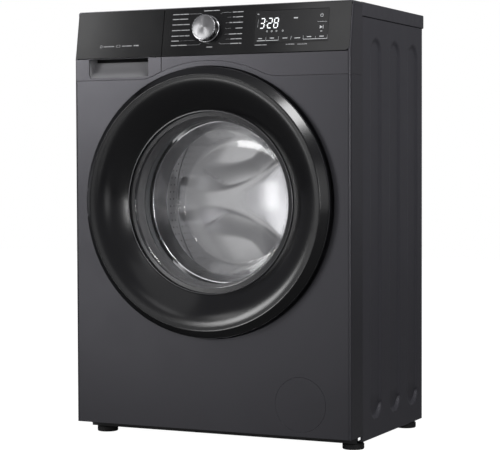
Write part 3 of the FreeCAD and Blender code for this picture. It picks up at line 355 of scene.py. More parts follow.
def cleaned(mesh, gap=None):
    """The mesh with its faces turned outwards, and with points nearer than gap made one."""
    work = bmesh.new()
    work.from_mesh(mesh)
    if gap is not None:
        bmesh.ops.remove_doubles(work, verts=work.verts, dist=gap)
    bmesh.ops.recalc_face_normals(work, faces=work.faces)
    work.to_mesh(mesh)
    work.free()
    return mesh


def mesh_from(name, points, faces):
    """A mesh from its points and faces."""
    mesh = bpy.data.meshes.new(name)
    mesh.from_pydata([tuple(point) for point in points], [], faces)
    mesh.validate()
    return cleaned(mesh)


def arc(centre, radius, start, end, steps):
    """Points along an arc, angles in degrees."""
    return [(centre[0] + radius * math.cos(math.radians(start + (end - start) * i / steps)),
             centre[1] + radius * math.sin(math.radians(start + (end - start) * i / steps)))
            for i in range(steps + 1)]


def rounded(corners, steps=6):
    """A closed outline from (x, y, radius) corners, each rounded by an arc."""
    outline = []
    count = len(corners)
    for index, (x, y, radius) in enumerate(corners):
        here = Vector((x, y))
        before = Vector(corners[index - 1][:2]) - here
        after = Vector(corners[(index + 1) % count][:2]) - here
        if radius <= 0:
            outline.append((x, y))
            continue
        half = before.angle(after) / 2
        reach = min(radius / math.tan(half), 0.49 * before.length, 0.49 * after.length)
        size = reach * math.tan(half)
        centre = here + (before.normalized() + after.normalized()).normalized() * (
            size / math.sin(half))
        start = here + before.normalized() * reach - centre
        end = here + after.normalized() * reach - centre
        turn = start.angle_signed(end)
        for step in range(steps + 1):
            swing = Matrix.Rotation(-turn * step / steps, 2)
            outline.append(tuple(centre + swing @ start))
    return outline


def outline_box(left, low, right, high, radii, steps=6):
    """A rectangle's outline. radii are for its low left, low right, top right and top left."""
    corners = ((left, low), (right, low), (right, high), (left, high))
    return rounded([(*corner, radius) for corner, radius in zip(corners, radii)], steps)


def quads(rows, count, start=0, ring=True, turn=False):
    """Four-sided faces between rows of points, the first of which is numbered start.

    In a ring, each row's end meets its start. In a turn, the last row meets the first.
    """
    return [tuple(start + row % rows * count + step % count
                  for row, step in ((i, j), (i, j + 1), (i + 1, j + 1), (i + 1, j)))
            for i in range(rows if turn else rows - 1)
            for j in range(count if ring else count - 1)]


def lathe_mesh(name, profile, segments=192, centre_z=0):
    """A closed (radius, depth) outline turned about the Y axis at height centre_z."""
    points = []
    for index in range(segments):
        angle = 2 * math.pi * index / segments
        for radius, depth in profile:
            points.append((radius * math.cos(angle), depth,
                           centre_z + radius * math.sin(angle)))
    faces = quads(segments, len(profile), turn=True)
    return cleaned(mesh_from(name, points, faces), 1e-7)


def notched(mesh, rooms):
    """The mesh with a box-shaped room cut out of it for each (low, high) pair."""
    piece = placed("uncut", mesh)
    boxes = [box_mesh("room", low, high, 0.0002, 1) for low, high in rooms]
    cutter = placed("cutter", joined("cutter", boxes))
    cut = piece.modifiers.new("cut", "BOOLEAN")
    cut.operation = "DIFFERENCE"
    cut.solver = "EXACT"
    cut.object = cutter
    bpy.context.view_layer.update()
    evaluated = piece.evaluated_get(bpy.context.evaluated_depsgraph_get())
    solid = bpy.data.meshes.new_from_object(evaluated)
    for each in (piece, cutter):
        bpy.data.objects.remove(each)
    return solid


def turned(name, profile, body, surface, replaces=(), segments=192, sharp=35):
    """A lathed piece about the door's axis."""
    return finish_mesh(name, lathe_mesh(name, profile, segments, AXIS_Z), body, surface,
                       replaces, sharp)


def plate_mesh(name, loops, thickness, edge, place):
    """A flat plate from an outline and its holes, with rounded edges.

    place turns a flat point (across, up) and a depth into the plate into a place.
    """
    curve = bpy.data.curves.new(name, "CURVE")
    curve.dimensions = "2D"
    curve.fill_mode = "BOTH"
    for number, loop in enumerate(loops):
        area = sum(a[0] * b[1] - b[0] * a[1] for a, b in zip(loop, loop[1:] + loop[:1]))
        ordered = loop if (area < 0) == (number == 0) else loop[::-1]
        spline = curve.splines.new("POLY")
        spline.points.add(len(ordered) - 1)
        for point, (across, up) in zip(spline.points, ordered):
            point.co = (across, up, 0, 1)
        spline.use_cyclic_u = True
    curve.extrude = max(thickness / 2 - edge, 1e-5)
    curve.bevel_depth = edge
    curve.bevel_resolution = 2 if edge > 0 else 0
    curve.offset = -edge
    holder = placed(name, curve)
    graph = bpy.context.evaluated_depsgraph_get()
    mesh = bpy.data.meshes.new_from_object(holder.evaluated_get(graph))
    bpy.data.objects.remove(holder)
    bpy.data.curves.remove(curve)
    for vertex in mesh.vertices:
        across, up, out = vertex.co
        vertex.co = place(across, up, thickness / 2 - out)
    return cleaned(mesh, 1e-6)


def upright(depth):
    """Places a plate's front face upright at a depth."""
    return lambda across, up, into: (across, depth + into, up)


def leaning(depth=0.0):
    """Places a plate's front face on the console's slope."""
    return lambda across, up, into: on_console(across, up, depth + into)


def strip_mesh(name, sections):
    """A closed skin over matching closed outlines, capped at both ends."""
    count = len(sections[0])
    points = [point for section in sections for point in section]
    faces = [tuple(range(count)), tuple(range((len(sections) - 1) * count,
                                              len(sections) * count))[::-1]]
    return mesh_from(name, points, faces + quads(len(sections), count))


def box_mesh(name, low, high, edge=0.0005, steps=2):
    """A box with rounded edges."""
    shape = bmesh.new()
    bmesh.ops.create_cube(shape, size=1)
    middle = (Vector(low) + Vector(high)) / 2
    size = Vector(high) - Vector(low)
    for vertex in shape.verts:
        vertex.co = Vector([vertex.co[i] * size[i] + middle[i] for i in range(3)])
    bmesh.ops.bevel(shape, geom=list(shape.edges), offset=edge, segments=steps, profile=0.5,
                    affect="EDGES")
    mesh = bpy.data.meshes.new(name)
    shape.to_mesh(mesh)
    shape.free()
    return mesh


def smooth_step(value):
    """A soft step from 0 to 1."""
    value = min(1, max(0, value))
    return value * value * (3 - 2 * value)


# ---- camera, light and floor
CAMERA_PLACE = (1.4696, -3.0960, 0.5458)
CAMERA_TURN = (25.397, 2.086, -0.191)
LENS = 121.25
SENSOR = 36
FLOOR_HALF = 6


def camera():
    """The photograph's view, from its turn to the left, its dip and its small roll."""
    yaw, pitch, roll = (math.radians(angle) for angle in CAMERA_TURN)
    flat = Vector((-math.sin(yaw), math.cos(yaw), 0))
    side = Vector((math.cos(yaw), math.sin(yaw), 0))
    rise = Vector((0, 0, 1))
    forward = flat * math.cos(pitch) - rise * math.sin(pitch)
    lifted = rise * math.cos(pitch) + flat * math.sin(pitch)
    right = side * math.cos(roll) + lifted * math.sin(roll)
    upward = lifted * math.cos(roll) - side * math.sin(roll)
    data = bpy.data.cameras.new("camera")
    data.lens = LENS
    data.sensor_width = SENSOR
    data.clip_end = 50
    view = placed("camera", data)
    view.matrix_world = Matrix.Translation(CAMERA_PLACE) @ Matrix(
        (right, upward, -forward)).transposed().to_4x4()
    bpy.context.scene.camera = view


def softbox(name, place, target, size, power):
    """A rectangular area light that the camera doesn't see."""
    data = bpy.data.lights.new(name, "AREA")
    data.shape = "RECTANGLE"
    data.size, data.size_y = size
    data.energy = power
    lamp = placed(name, data)
    lamp.location = place
    lamp.rotation_euler = (Vector(target) - Vector(place)).to_track_quat("-Z", "Y").to_euler()
    lamp.visible_camera = False
    return lamp


# each soft box: its name, its place, the point it faces, its size and its power
LIGHTS = (
    ("key_high", (-2.15, -3.1, 1.25), (-0.2, -0.19, 0.75), (1.0, 0.8), 29),
    ("key_low", (-1.75, -3.0, 0.1), (-0.1, -0.19, 0.25), (0.6, 0.18), 3.5),
    ("front_low", (-0.8, -3.0, 0.1), (0.1, -0.19, 0.25), (1.2, 0.16), 0.9),
    ("front_middle", (-1.05, -3.1, 0.62), (-0.1, -0.19, 0.4), (0.5, 0.4), 0.35),
    ("console_left", (-2.5, -3.1, 2.45), (-0.2, -0.18, 0.8), (0.7, 0.8), 5),
    ("console_right", (-0.8, -3.1, 2.1), (0.2, -0.18, 0.8), (0.8, 0.5), 1.9),
    ("ring_high", (1.5, -1.0, 2.6), (0.15, -0.2, 0.6), (1.0, 1.0), 12),
    ("room_top", (0, -2.2, 3.6), (0, 0, 0.5), (3.0, 3.0), 12),
    ("side_high", (0.95, -0.75, 1.95), (0.3, -0.2, 0.6), (0.5, 0.5), 11),
    ("room_right", (3.4, -2.2, 1.0), (0.2, -0.1, 0.5), (2.0, 1.8), 8),
    ("corner_strip", (2.27, -1.88, 0.75), (0.295, -0.18, 0.5), (0.1, 0.9), 12),
    ("drum_front", (1.0, -3.0, 0.42), (-0.1, -0.1, AXIS_Z), (0.5, 0.5), 1.2),
    ("drum_lamp", (-0.061, -0.02, 0.477), (-0.001, 0.11, 0.48), (0.03, 0.06), 0.0045),
    ("drum_fill", (-0.13, -0.105, AXIS_Z), (0, 0.12, AXIS_Z), (0.26, 0.3), 0.14),
    ("drum_top", (-0.02, -0.07, AXIS_Z + 0.19), (0.05, 0.12, AXIS_Z - 0.1), (0.25, 0.012), 0.012),
    ("drum_low", (-0.02, -0.07, AXIS_Z - 0.19), (0.05, 0.12, AXIS_Z + 0.1), (0.25, 0.012), 0.04),
)


def studio():
    """The soft boxes, each placed for the surface that mirrors it."""
    for light in LIGHTS:
        softbox(*light)
    unseen = softbox("drum_side", (0.15, -0.02, AXIS_Z + 0.1), (-0.23, 0.03, AXIS_Z),
                     (0.1, 0.1), 0.08)
    unseen.visible_glossy = False


def room():
    """A dim grey room in reflections, behind a white backdrop."""
    world = bpy.data.worlds.new("studio")
    nodes, links = parts_of(world)
    backdrop = nodes["Background"]
    backdrop.inputs["Color"].default_value = (1, 1, 1, 1)
    backdrop.inputs["Strength"].default_value = 1
    walls = added(nodes, "Background", Color=(0.30, 0.30, 0.32, 1), Strength=0.7)
    path = nodes.new("ShaderNodeLightPath")
    mix = nodes.new("ShaderNodeMixShader")
    links.new(path.outputs["Is Camera Ray"], mix.inputs["Fac"])
    links.new(walls.outputs["Background"], mix.inputs[1])
    links.new(backdrop.outputs["Background"], mix.inputs[2])
    links.new(mix.outputs["Shader"], nodes["World Output"].inputs["Surface"])
    bpy.context.scene.world = world
    bpy.context.scene.view_settings.view_transform = "Standard"


def floor():
    """A pale floor that meets the backdrop without a line, and takes a soft shadow."""
    corners = [(across * FLOOR_HALF, deep * FLOOR_HALF, 0)
               for across, deep in ((-1, -1), (1, -1), (1, 1), (-1, 1))]
    mesh = mesh_from("floor", corners, [(0, 1, 2, 3)])
    surface = material("pale_floor", (0.16, 0.16, 0.16), roughness=0.9, tint=(2, 0.01),
                       grain=(60, 0.01))
    nodes, links = parts_of(surface)
    path = nodes.new("ShaderNodeLightPath")
    shader = nodes["Principled BSDF"]
    shader.inputs["Emission Color"].default_value = (1, 1, 1, 1)
    links.new(path.outputs["Is Camera Ray"], shader.inputs["Emission Strength"])
    mesh.materials.append(surface)
    placed("floor", mesh)


camera()
studio()
room()
floor()


# ---- cabinet front
def head_arc(radius, low_z):
    """The line that runs along low_z from the right and then over the door to the left."""
    reach = math.sqrt(radius ** 2 - (low_z - AXIS_Z) ** 2)
    corner = (reach, low_z)
    first = (reach + 0.018, low_z)
    angle = math.degrees(math.atan2(low_z - AXIS_Z, reach)) + 4.2
    last = (radius * math.cos(math.radians(angle)), AXIS_Z + radius * math.sin(math.radians(angle)))
    blend = []
    for step in range(9):
        t = step / 8
        blend.append(tuple((1 - t) ** 2 * a + 2 * t * (1 - t) * b + t * t * c
                           for a, b, c in zip(first, corner, last)))
    crown = arc((0, AXIS_Z), radius, angle, 180 - angle, 60)
    mirrored = [(-x, z) for x, z in reversed(blend)]
    return blend + crown[1:-1] + mirrored


def corner_strip(name, side, low, high, thick=SHEET, lean=False):
    """The rounded front edge and the side return behind it, as one bent strip."""
    sections = []
    levels = [low, high] if not lean else [low, CONSOLE_Z, high]
    for z in levels:
        front = FRONT + max(0, z - CONSOLE_Z) / (TOP - CONSOLE_Z) * CONSOLE_LEAN
        outer = arc((HALF_WIDTH - CORNER, front + CORNER), CORNER, -90, 0, 8)
        inner = arc((HALF_WIDTH - CORNER, front + CORNER), CORNER - thick, 0, -90, 8)
        loop = outer + [(HALF_WIDTH, BEZEL_BACK), (HALF_WIDTH - thick, BEZEL_BACK)] + inner
        sections.append([(side * x, y, z) for x, y in loop])
    return strip_mesh(name, sections)


def front_panel():
    """The painted front sheet with its dish, opening and filter hole."""
    edge_x = HALF_WIDTH - CORNER
    seam_z = FASCIA_BOTTOM - 0.0003
    outline = [(-edge_x, PANEL_BOTTOM), (edge_x, PANEL_BOTTOM), (edge_x, seam_z)]
    outline += head_arc(ARC_RADIUS - 0.0003, seam_z) + [(-edge_x, seam_z)]
    dish = arc((0, AXIS_Z), DISH_RADIUS + 0.0006, 0, 358, 180)
    cover_middle = (COVER_X, COVER_Z)
    cover_hole = arc(cover_middle, COVER_RADIUS + 0.0003, 0, 357.5, 143)
    face = plate_mesh("front_face", [outline, dish, cover_hole], SHEET, 0.0003, upright(FRONT))
    dish_profile = [(OPENING_RADIUS, -0.165), (OPENING_RADIUS, DISH_FLOOR + 0.002),
                    (OPENING_RADIUS + 0.0008, DISH_FLOOR + 0.0005),
                    (OPENING_RADIUS + 0.0025, DISH_FLOOR), (DISH_RADIUS - 0.003, DISH_FLOOR),
                    (DISH_RADIUS - 0.0008, DISH_FLOOR - 0.0008), (DISH_RADIUS, DISH_FLOOR - 0.003),
                    (DISH_RADIUS, FRONT + 0.001), (DISH_RADIUS + 0.0003, FRONT + 0.0003),
                    (DISH_RADIUS + 0.001, FRONT), (DISH_RADIUS + 0.0015, FRONT + 0.0003),
                    (DISH_RADIUS + SHEET, DISH_FLOOR + SHEET),
                    (OPENING_RADIUS + 0.002, DISH_FLOOR + SHEET), (OPENING_RADIUS + 0.0015, -0.165)]
    dish_ring = lathe_mesh("front_dish", dish_profile, 192, AXIS_Z)
    strips = [corner_strip(f"front_corner_{side}", side, PANEL_BOTTOM, seam_z) for side in (-1, 1)]
    flange = box_mesh("front_flange", (-edge_x, FRONT + SHEET, PANEL_BOTTOM),
                      (edge_x, FRONT + 0.038, PANEL_BOTTOM + SHEET), 0.0003)
    finish_mesh("front_panel_skin", [face, dish_ring, flange] + strips, "cabinet", PAINT,
                ["front_panel"])


def fascia():
    """The grey moulded head: the band over the door, the corners and the top strip."""
    edge_x = HALF_WIDTH - CORNER
    line = [(x, z) for x, z in head_arc(ARC_RADIUS, FASCIA_BOTTOM) if x > DRAWER_SEAM + 0.0006]
    start_z = AXIS_Z + math.sqrt(ARC_RADIUS ** 2 - (DRAWER_SEAM + 0.0006) ** 2)
    outline = [(edge_x, FASCIA_BOTTOM)] + line + [(DRAWER_SEAM + 0.0006, start_z),
                                                  (DRAWER_SEAM + 0.0006, CONSOLE_Z - 0.0004),
                                                  (edge_x, CONSOLE_Z - 0.0004)]
    band = plate_mesh("fascia_band", [outline], 0.0028, 0.0003, upright(FRONT))
    strips = [corner_strip(f"fascia_corner_{side}", side, FASCIA_BOTTOM, TOP - 0.0085, 0.0025,
                           True) for side in (-1, 1)]
    slope = outline_box(DRAWER_SEAM + 0.001, 0.0005, edge_x, SLOPE_LENGTH - 0.0012, [0] * 4)
    rear = plate_mesh("fascia_slope", [slope], 0.0022, 0.0003, leaning(0.0031))
    finish_mesh("fascia_skin", [band, rear, head_cap()] + strips, "cabinet", FASCIA, ["fascia"])


def head_cap():
    """The cap along the head's top, turned down over both rounded top corners."""
    low = TOP - 0.0090
    outer = rounded([(-HALF_WIDTH, low, 0), (-HALF_WIDTH, TOP, 0.0085), (HALF_WIDTH, TOP, 0.0085),
                     (HALF_WIDTH, low, 0)], 8)
    side, under = HALF_WIDTH - 0.0025, TOP - 0.0025
    inner = rounded([(side, low, 0), (side, under, 0.006), (-side, under, 0.006),
                     (-side, low, 0)], 8)
    start = FRONT + CONSOLE_LEAN + 0.0006
    rows = ((start, 0.0014), (start + 0.0004, 0.0005), (start + 0.0012, 0), (BEZEL_BACK, 0))
    middle = Vector((0, TOP - 0.004))
    sections = []
    for depth, inset in rows:
        loop = [Vector((x, z)) - (Vector((x, z)) - middle).normalized() * inset for x, z in outer]
        sections.append([(x, depth, z) for x, z in loop + [Vector(point) for point in inner]])
    return strip_mesh("head_cap", sections)


def console():
    """The black leaning face with its display window let in."""
    left = DRAWER_SEAM + 0.0007
    right = HALF_WIDTH - 0.0028
    top = SLOPE_LENGTH - 0.0012
    outline = outline_box(left, 0.0006, right, top, (0.0006, 0.010, 0.004, 0.0006), 8)
    window = outline_box(0.0977, 0.0203, 0.2493, 0.0827, [0.0012] * 4)
    shaft = arc((KNOB_ACROSS, SHAFT_ALONG), 0.0052, 0, 345, 23)
    face = plate_mesh("console_panel", [outline, window, shaft], 0.003, 0.0006, leaning())
    finish_mesh("console_panel", face, "cabinet", CONSOLE_BLACK, ["console_face"])
    glass = outline_box(0.0978, 0.0204, 0.2492, 0.0826, [0.0011] * 4)
    pane = plate_mesh("display_window", [glass], 0.0022, 0.0002, leaning(0.00008))
    finish_mesh("display_window", pane, "cabinet", DISPLAY_BLACK, ["display_glass"])


front_panel()
fascia()
console()


# ---- cabinet sides and top
CHANNELS = (-0.061, 0.042, 0.145)
CHANNEL_HALF = 0.030
CHANNEL_DEPTH = 0.003
CHANNEL_LOW, CHANNEL_HIGH = 0.083, 0.757


def channel_depth(y, z):
    """How far the side is pressed in at a point of it."""
    deepest = 0.0
    for centre in CHANNELS:
        beyond = max(CHANNEL_LOW - z, z - CHANNEL_HIGH, 0)
        inside = CHANNEL_HALF - math.hypot(y - centre, beyond)
        flank = 0.004 if z < CHANNEL_LOW else 0.010
        foot = 0.0035 * smooth_step((0.100 - z) / 0.035)
        deepest = max(deepest, (CHANNEL_DEPTH + foot) * smooth_step(inside / flank))
    return deepest


def side_panel(name, side):
    """A painted side with three long pressed channels and its folded edges."""
    low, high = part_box(name)
    back = high[1]
    across = [low[1] + (back - low[1]) * step / 150 for step in range(151)]
    levels = [low[2] + 0.0028 * step for step in range(40)]
    levels += [levels[-1] + 0.03 * step for step in range(1, 20)]
    top_start = levels[-1]
    levels += [top_start + (high[2] - top_start) * step / 36 for step in range(1, 37)]
    points = [(side * (HALF_WIDTH - channel_depth(y, z)), y, z) for z in levels for y in across]
    skin = mesh_from("side_skin", points, quads(len(levels), len(across), ring=False))
    inner = side * (HALF_WIDTH - 0.0001)
    folds = [box_mesh("fold", (min(inner, side * reach), y0, z0),
                      (max(inner, side * reach), y1, z1), 0.0003)
             for reach, y0, y1, z0, z1 in (
                 (HALF_WIDTH - 0.005, low[1], low[1] + SHEET, low[2], high[2]),
                 (HALF_WIDTH - 0.016, back - SHEET, back, low[2], high[2]),
                 (HALF_WIDTH - 0.012, low[1], back, low[2], low[2] + SHEET))]
    finish_mesh(name + "_skin", [skin] + folds, "cabinet", SIDE_PAINT, [name], 50)


def worktop():
    """The top board with softly rounded edges."""
    low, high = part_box("top_panel")
    board = box_mesh("worktop_board", (low[0], low[1], low[2] + 0.0006), tuple(high), 0.0022, 4)
    finish_mesh("worktop_board", board, "cabinet", WORKTOP, ["top_panel"])


side_panel("left_side_panel", -1)
side_panel("right_side_panel", 1)
worktop()


# ---- print on the console
ON_FACE = -0.00006
ON_GLASS = -0.00002
PRINT_THICK = 0.0001


def printed(loops, depth):
    """Print in the shape of its outlines, laid on the console's slope."""
    def place(across, up, into):
        return on_console(across + PRINT_SHIFT, up, depth + into)
    return plate_mesh("print", loops, PRINT_THICK, 0, place)


def bar(across, along, width, height, depth=ON_FACE):
    """A thin printed bar centred on a point of the console."""
    corners = outline_box(across - width / 2, along - height / 2, across + width / 2,
                          along + height / 2, [height / 3] * 4, 3)
    return printed([corners], depth)


def line_between(start, end, width, depth=ON_FACE):
    """A thin printed line between two points of the console."""
    a = Vector(start)
    b = Vector(end)
    side = (b - a).normalized().orthogonal() * width / 2
    return printed([[tuple(point) for point in (a + side, b + side, b - side, a - side)]], depth)


def ring_print(across, along, radius, width, start=0, end=360, depth=ON_FACE):
    """A printed ring, or an open arc of one."""
    steps = 28
    outer = arc((across, along), radius, start, end, steps)
    inner = arc((across, along), radius - width, end, start, steps)
    if end - start >= 360:
        return printed([outer[:-1], inner[:-1]], depth)
    return printed([outer + inner], depth)


def word(across, along, width, height, gaps):
    """A plain stand-in for a word: short bars of uneven length in a row."""
    pieces = []
    start = across
    total = sum(gaps) + 0.25 * (len(gaps) - 1)
    unit = width / total
    for length in gaps:
        pieces.append(bar(start + length * unit / 2, along, length * unit, height))
        start += (length + 0.25) * unit
    return pieces


LABEL_ROWS = (0.0830, 0.0733, 0.0625, 0.0512, 0.0400, 0.0303, 0.0213)
LEFT_WORDS = ((0.035, (4, 2, 3)), (0.034, (3, 4)), (0.038, (2, 3, 3)), (0.039, (4, 4)),
              (0.039, (3, 2, 2)), (0.017, (3,)), (0.035, (3, 4)))
RIGHT_WORDS = ((0.023, (2, 3)), (0.022, (1, 3)), (0.028, (1, 4)), (0.015, (3,)),
               (0.028, (3, 2)), (0.024, (2, 3)), (0.024, (3, 1)))
LEADER = 0.0004


def leader_lines():
    """The thin lines that join the label rows to the knob's place."""
    pieces = []
    for side, gap in ((-1, -0.0475), (1, 0.0430)):
        for index, row in enumerate(LABEL_ROWS):
            if index in (0, 6):
                inner = (side * 0.0235, row)
                tip = (side * 0.0195, row - 0.0022 if index == 0 else row + 0.0022)
                pieces.append(line_between((gap, row), inner, LEADER))
                pieces.append(line_between(inner, tip, LEADER))
            elif side == 1 or index == 5:
                start = gap if side == 1 else -0.0640
                reach = 0.031 if index not in (1, 5) else 0.034
                pieces.append(line_between((start, row), (side * reach, row), LEADER * 0.6))
    return pieces


def console_print():
    """The label rows round the knob and the marks above and below them."""
    pieces = []
    for row, (width, gaps) in zip(LABEL_ROWS, LEFT_WORDS):
        pieces += word(-0.0845, row, width, 0.0016, gaps)
    for row, (width, gaps) in zip(LABEL_ROWS, RIGHT_WORDS):
        pieces += word(0.068 - width, row, width, 0.0016, gaps)
    pieces += leader_lines()
    for across, along, width, height, gaps in (
            (-0.0170, 0.0878, 0.034, 0.0015, (4, 3)), (-0.0070, 0.0160, 0.013, 0.0015, (3,)),
            (0.0965, 0.0163, 0.025, 0.0013, (3, 2)), (0.1610, 0.0159, 0.018, 0.0012, (1, 1, 2)),
            (0.1850, 0.0154, 0.020, 0.0012, (2, 1, 2))):
        pieces += word(across, along, width, height, gaps)
    finish_mesh("console_print", pieces, "cabinet", PRINT_PAINTED_GLOW)


def seven_segments(across, along, width, height, lit):
    """One numeral from lit bars: top, upper left and right, middle, lower left and right, foot."""
    slant = 0.12
    thick = height * 0.10

    def at(x, z):
        return (across + x + slant * z, along + z)

    lines = (((0.1, 1), (0.9, 1)), ((0, 0.94), (0, 0.56)), ((1, 0.94), (1, 0.56)),
             ((0.1, 0.5), (0.9, 0.5)), ((0, 0.44), (0, 0.06)), ((1, 0.44), (1, 0.06)),
             ((0.1, 0), (0.9, 0)))
    return [line_between(at(a[0] * width, (a[1] - 0.5) * height),
                         at(b[0] * width, (b[1] - 0.5) * height), thick, ON_GLASS)
            for on, (a, b) in zip(lit, lines) if on]


NUMERALS = ((0.1057, (1, 0, 1, 1, 0, 1, 1)), (0.1213, (1, 0, 1, 1, 1, 0, 1)),
            (0.1342, (1, 1, 1, 1, 1, 1, 1)))
# the display's marks: bars, then lines, then rings
MARK_BARS = ((0.0998, 0.0765, 0.0040, 0.0012), (0.1787, 0.0664, 0.0085, 0.0022),
             (0.1070, 0.0287, 0.0080, 0.0013), (0.1088, 0.0245, 0.0170, 0.0012),
             (0.1316, 0.0290, 0.0090, 0.0015), (0.2084, 0.0290, 0.0090, 0.0015),
             (0.2336, 0.0290, 0.0090, 0.0015), (0.1586, 0.0281, 0.0100, 0.0015),
             (0.1842, 0.0275, 0.0120, 0.0014), (0.2324, 0.0388, 0.0044, 0.0014))
MARK_LINES = (((0.0998, 0.0505), (0.1012, 0.0660), 0.0003),
              ((0.1190, 0.0245), (0.1450, 0.0245), 0.0009),
              ((0.1190, 0.0245), (0.1190, 0.0318), 0.0004),
              ((0.1450, 0.0245), (0.1450, 0.0318), 0.0004),
              ((0.1962, 0.0245), (0.2452, 0.0245), 0.0009),
              ((0.1962, 0.0245), (0.1962, 0.0318), 0.0004),
              ((0.2452, 0.0245), (0.2452, 0.0318), 0.0004),
              ((0.2212, 0.0245), (0.2212, 0.0300), 0.0004),
              ((0.1700, 0.0245), (0.1722, 0.0315), 0.0005),
              ((0.2235, 0.0574), (0.2425, 0.0570), 0.0005),
              ((0.2318, 0.0694), (0.2318, 0.0734), 0.0007),
              ((0.2356, 0.0435), (0.2356, 0.0500), 0.0010))
MARK_RINGS = (*((across, 0.0423, 0.0017, 0.0006, 0, 360)
                for across in (0.1203, 0.1301, 0.1400, 0.1532)),
              (0.2318, 0.0694, 0.0032, 0.0007, 120, 420))
START_MARK = ((0.2288, 0.0433), (0.2288, 0.0502), (0.2342, 0.0467))


def display_print():
    """The lit time, and the paler marks round it."""
    lit = []
    for across, segments in NUMERALS:
        lit += seven_segments(across, 0.0582, 0.0080, 0.0186, segments)
    for along in (0.0545, 0.0620):
        lit.append(bar(0.1181 + 0.1 * (along - 0.058), along, 0.0013, 0.0016, ON_GLASS))
    finish_mesh("display_digits", lit, "cabinet", DIGITS)
    marks = [bar(*mark, ON_GLASS) for mark in MARK_BARS]
    marks += [line_between(*mark, ON_GLASS) for mark in MARK_LINES]
    marks += [ring_print(*mark, ON_GLASS) for mark in MARK_RINGS]
    marks.append(printed([list(START_MARK)], ON_GLASS))
    finish_mesh("display_marks", marks, "cabinet", glow("pale_marks", (0.55, 0.56, 0.57), 0.2))


def drawer_print():
    """The row of small marks low on the drawer's black face."""
    pieces = [ring_print(-0.2415, 0.0243, 0.0028, 0.0009),
              ring_print(-0.2047, 0.0243, 0.0026, 0.0007, 60, 300),
              ring_print(-0.2007, 0.0243, 0.0026, 0.0007, -120, 120)]
    pieces += word(-0.2362, 0.0240, 0.0240, 0.0017, (3, 2, 2))
    pieces += word(-0.1942, 0.0241, 0.0220, 0.0017, (2, 3))
    pieces += word(-0.1677, 0.0243, 0.0110, 0.0024, (1, 2))
    finish_mesh("drawer_print", pieces, "drawer", PRINT_PAINTED_GLOW)


console_print()
display_print()
drawer_print()


# ---- drawer front
SCOOP_LEFT, SCOOP_RIGHT, SCOOP_LOW = -0.264, -0.130, 0.7165


def drawer():
    """The drawer's black face and the grey grip below it, with the scoop, and near-black boxes in
    its hollow as painted shade.
    """
    left = -HALF_WIDTH + 0.0032
    right = DRAWER_SEAM - 0.0004
    outline = outline_box(left, 0.0006, right, SLOPE_LENGTH - 0.0012,
                          (0.0015, 0.0006, 0.0006, 0.0075), 8)
    face = plate_mesh("drawer_face", [outline], 0.003, 0.0006, leaning())
    finish_mesh("drawer_face", face, "drawer", CONSOLE_BLACK, ["drawer_front"])
    bottom = FASCIA_BOTTOM + 0.0001
    head = CONSOLE_Z - 0.0006
    low_line = [(x, z) for x, z in head_arc(ARC_RADIUS + 0.0004, bottom) if x < right - 0.0002]
    start_z = AXIS_Z + math.sqrt((ARC_RADIUS + 0.0004) ** 2 - right ** 2)
    outline = [(left + 0.0004, head), (right - 0.0002, head), (right - 0.0002, start_z)]
    outline += low_line + [(left + 0.0004, bottom)]
    hole = outline_box(SCOOP_LEFT, SCOOP_LOW, SCOOP_RIGHT, head - 0.0009,
                       (0.006, 0.006, 0.0003, 0.0003))
    band = plate_mesh("grip_band", [outline, hole], 0.003, 0.0003, upright(FRONT))
    finish_mesh("drawer_grip_band", band, "drawer", FASCIA, ["drawer_grip"])
    # the scoop wears the lighter grey, which is painted light on its ramp
    finish_mesh("drawer_scoop", scoop_mesh(), "drawer", SCOOP_PAINTED_LIGHT, sharp=50)
    # near-black boxes behind the ramp and in the slot over it: painted shade where the scoop's
    # hollow is dark
    shade_boxes = [box_mesh("shade_boxes", (SCOOP_LEFT + 0.0002, FRONT + front, CONSOLE_Z + low),
                       (SCOOP_RIGHT - 0.0002, FRONT + back, CONSOLE_Z + high), 0.0004)
              for front, back, low, high in ((0.032, 0.034, -0.012, 0.016),
                                             (0.0042, 0.033, 0.0008, 0.0024))]
    finish_mesh("scoop_shadow", shade_boxes, "drawer", PAINTED_SHADE)


SCOOP_SWEEP = math.radians(78)


def scoop_mesh():
    """The finger scoop: a ramp that climbs back to a rounded lip, between two end walls."""
    lip = CONSOLE_Z - 0.0078
    line = []
    for step in range(13):
        t = step / 12
        depth = 0.0236 * math.sin(SCOOP_SWEEP * t) / math.sin(SCOOP_SWEEP)
        line.append((FRONT + 0.0004 + depth, SCOOP_LOW + (lip - SCOOP_LOW) * t ** 1.5))
    line += [(FRONT + 0.0246, lip + 0.0006), (FRONT + 0.0256, lip + 0.0008),
             (FRONT + 0.0266, lip + 0.0004), (FRONT + 0.0270, lip - 0.0006)]
    under = [(y + 0.0016, z - 0.0016) for y, z in line[::-1][3:]]
    ramp = strip_mesh("ramp", [[(x, y, z) for y, z in line + under]
                               for x in (SCOOP_LEFT, SCOOP_RIGHT)])
    ends = []
    for wall, inner in ((SCOOP_LEFT, 1), (SCOOP_RIGHT, -1)):
        outer = wall - inner * 0.0015
        section = line + [(FRONT + 0.033, lip - 0.001), (FRONT + 0.033, CONSOLE_Z + 0.0008),
                          (FRONT + 0.0012, CONSOLE_Z + 0.0008), (FRONT + 0.0012, SCOOP_LOW)]
        ends.append(strip_mesh("end", [[(x, y, z) for y, z in section] for x in (outer, wall)]))
    return joined("drawer_scoop", [ramp] + ends)


drawer()


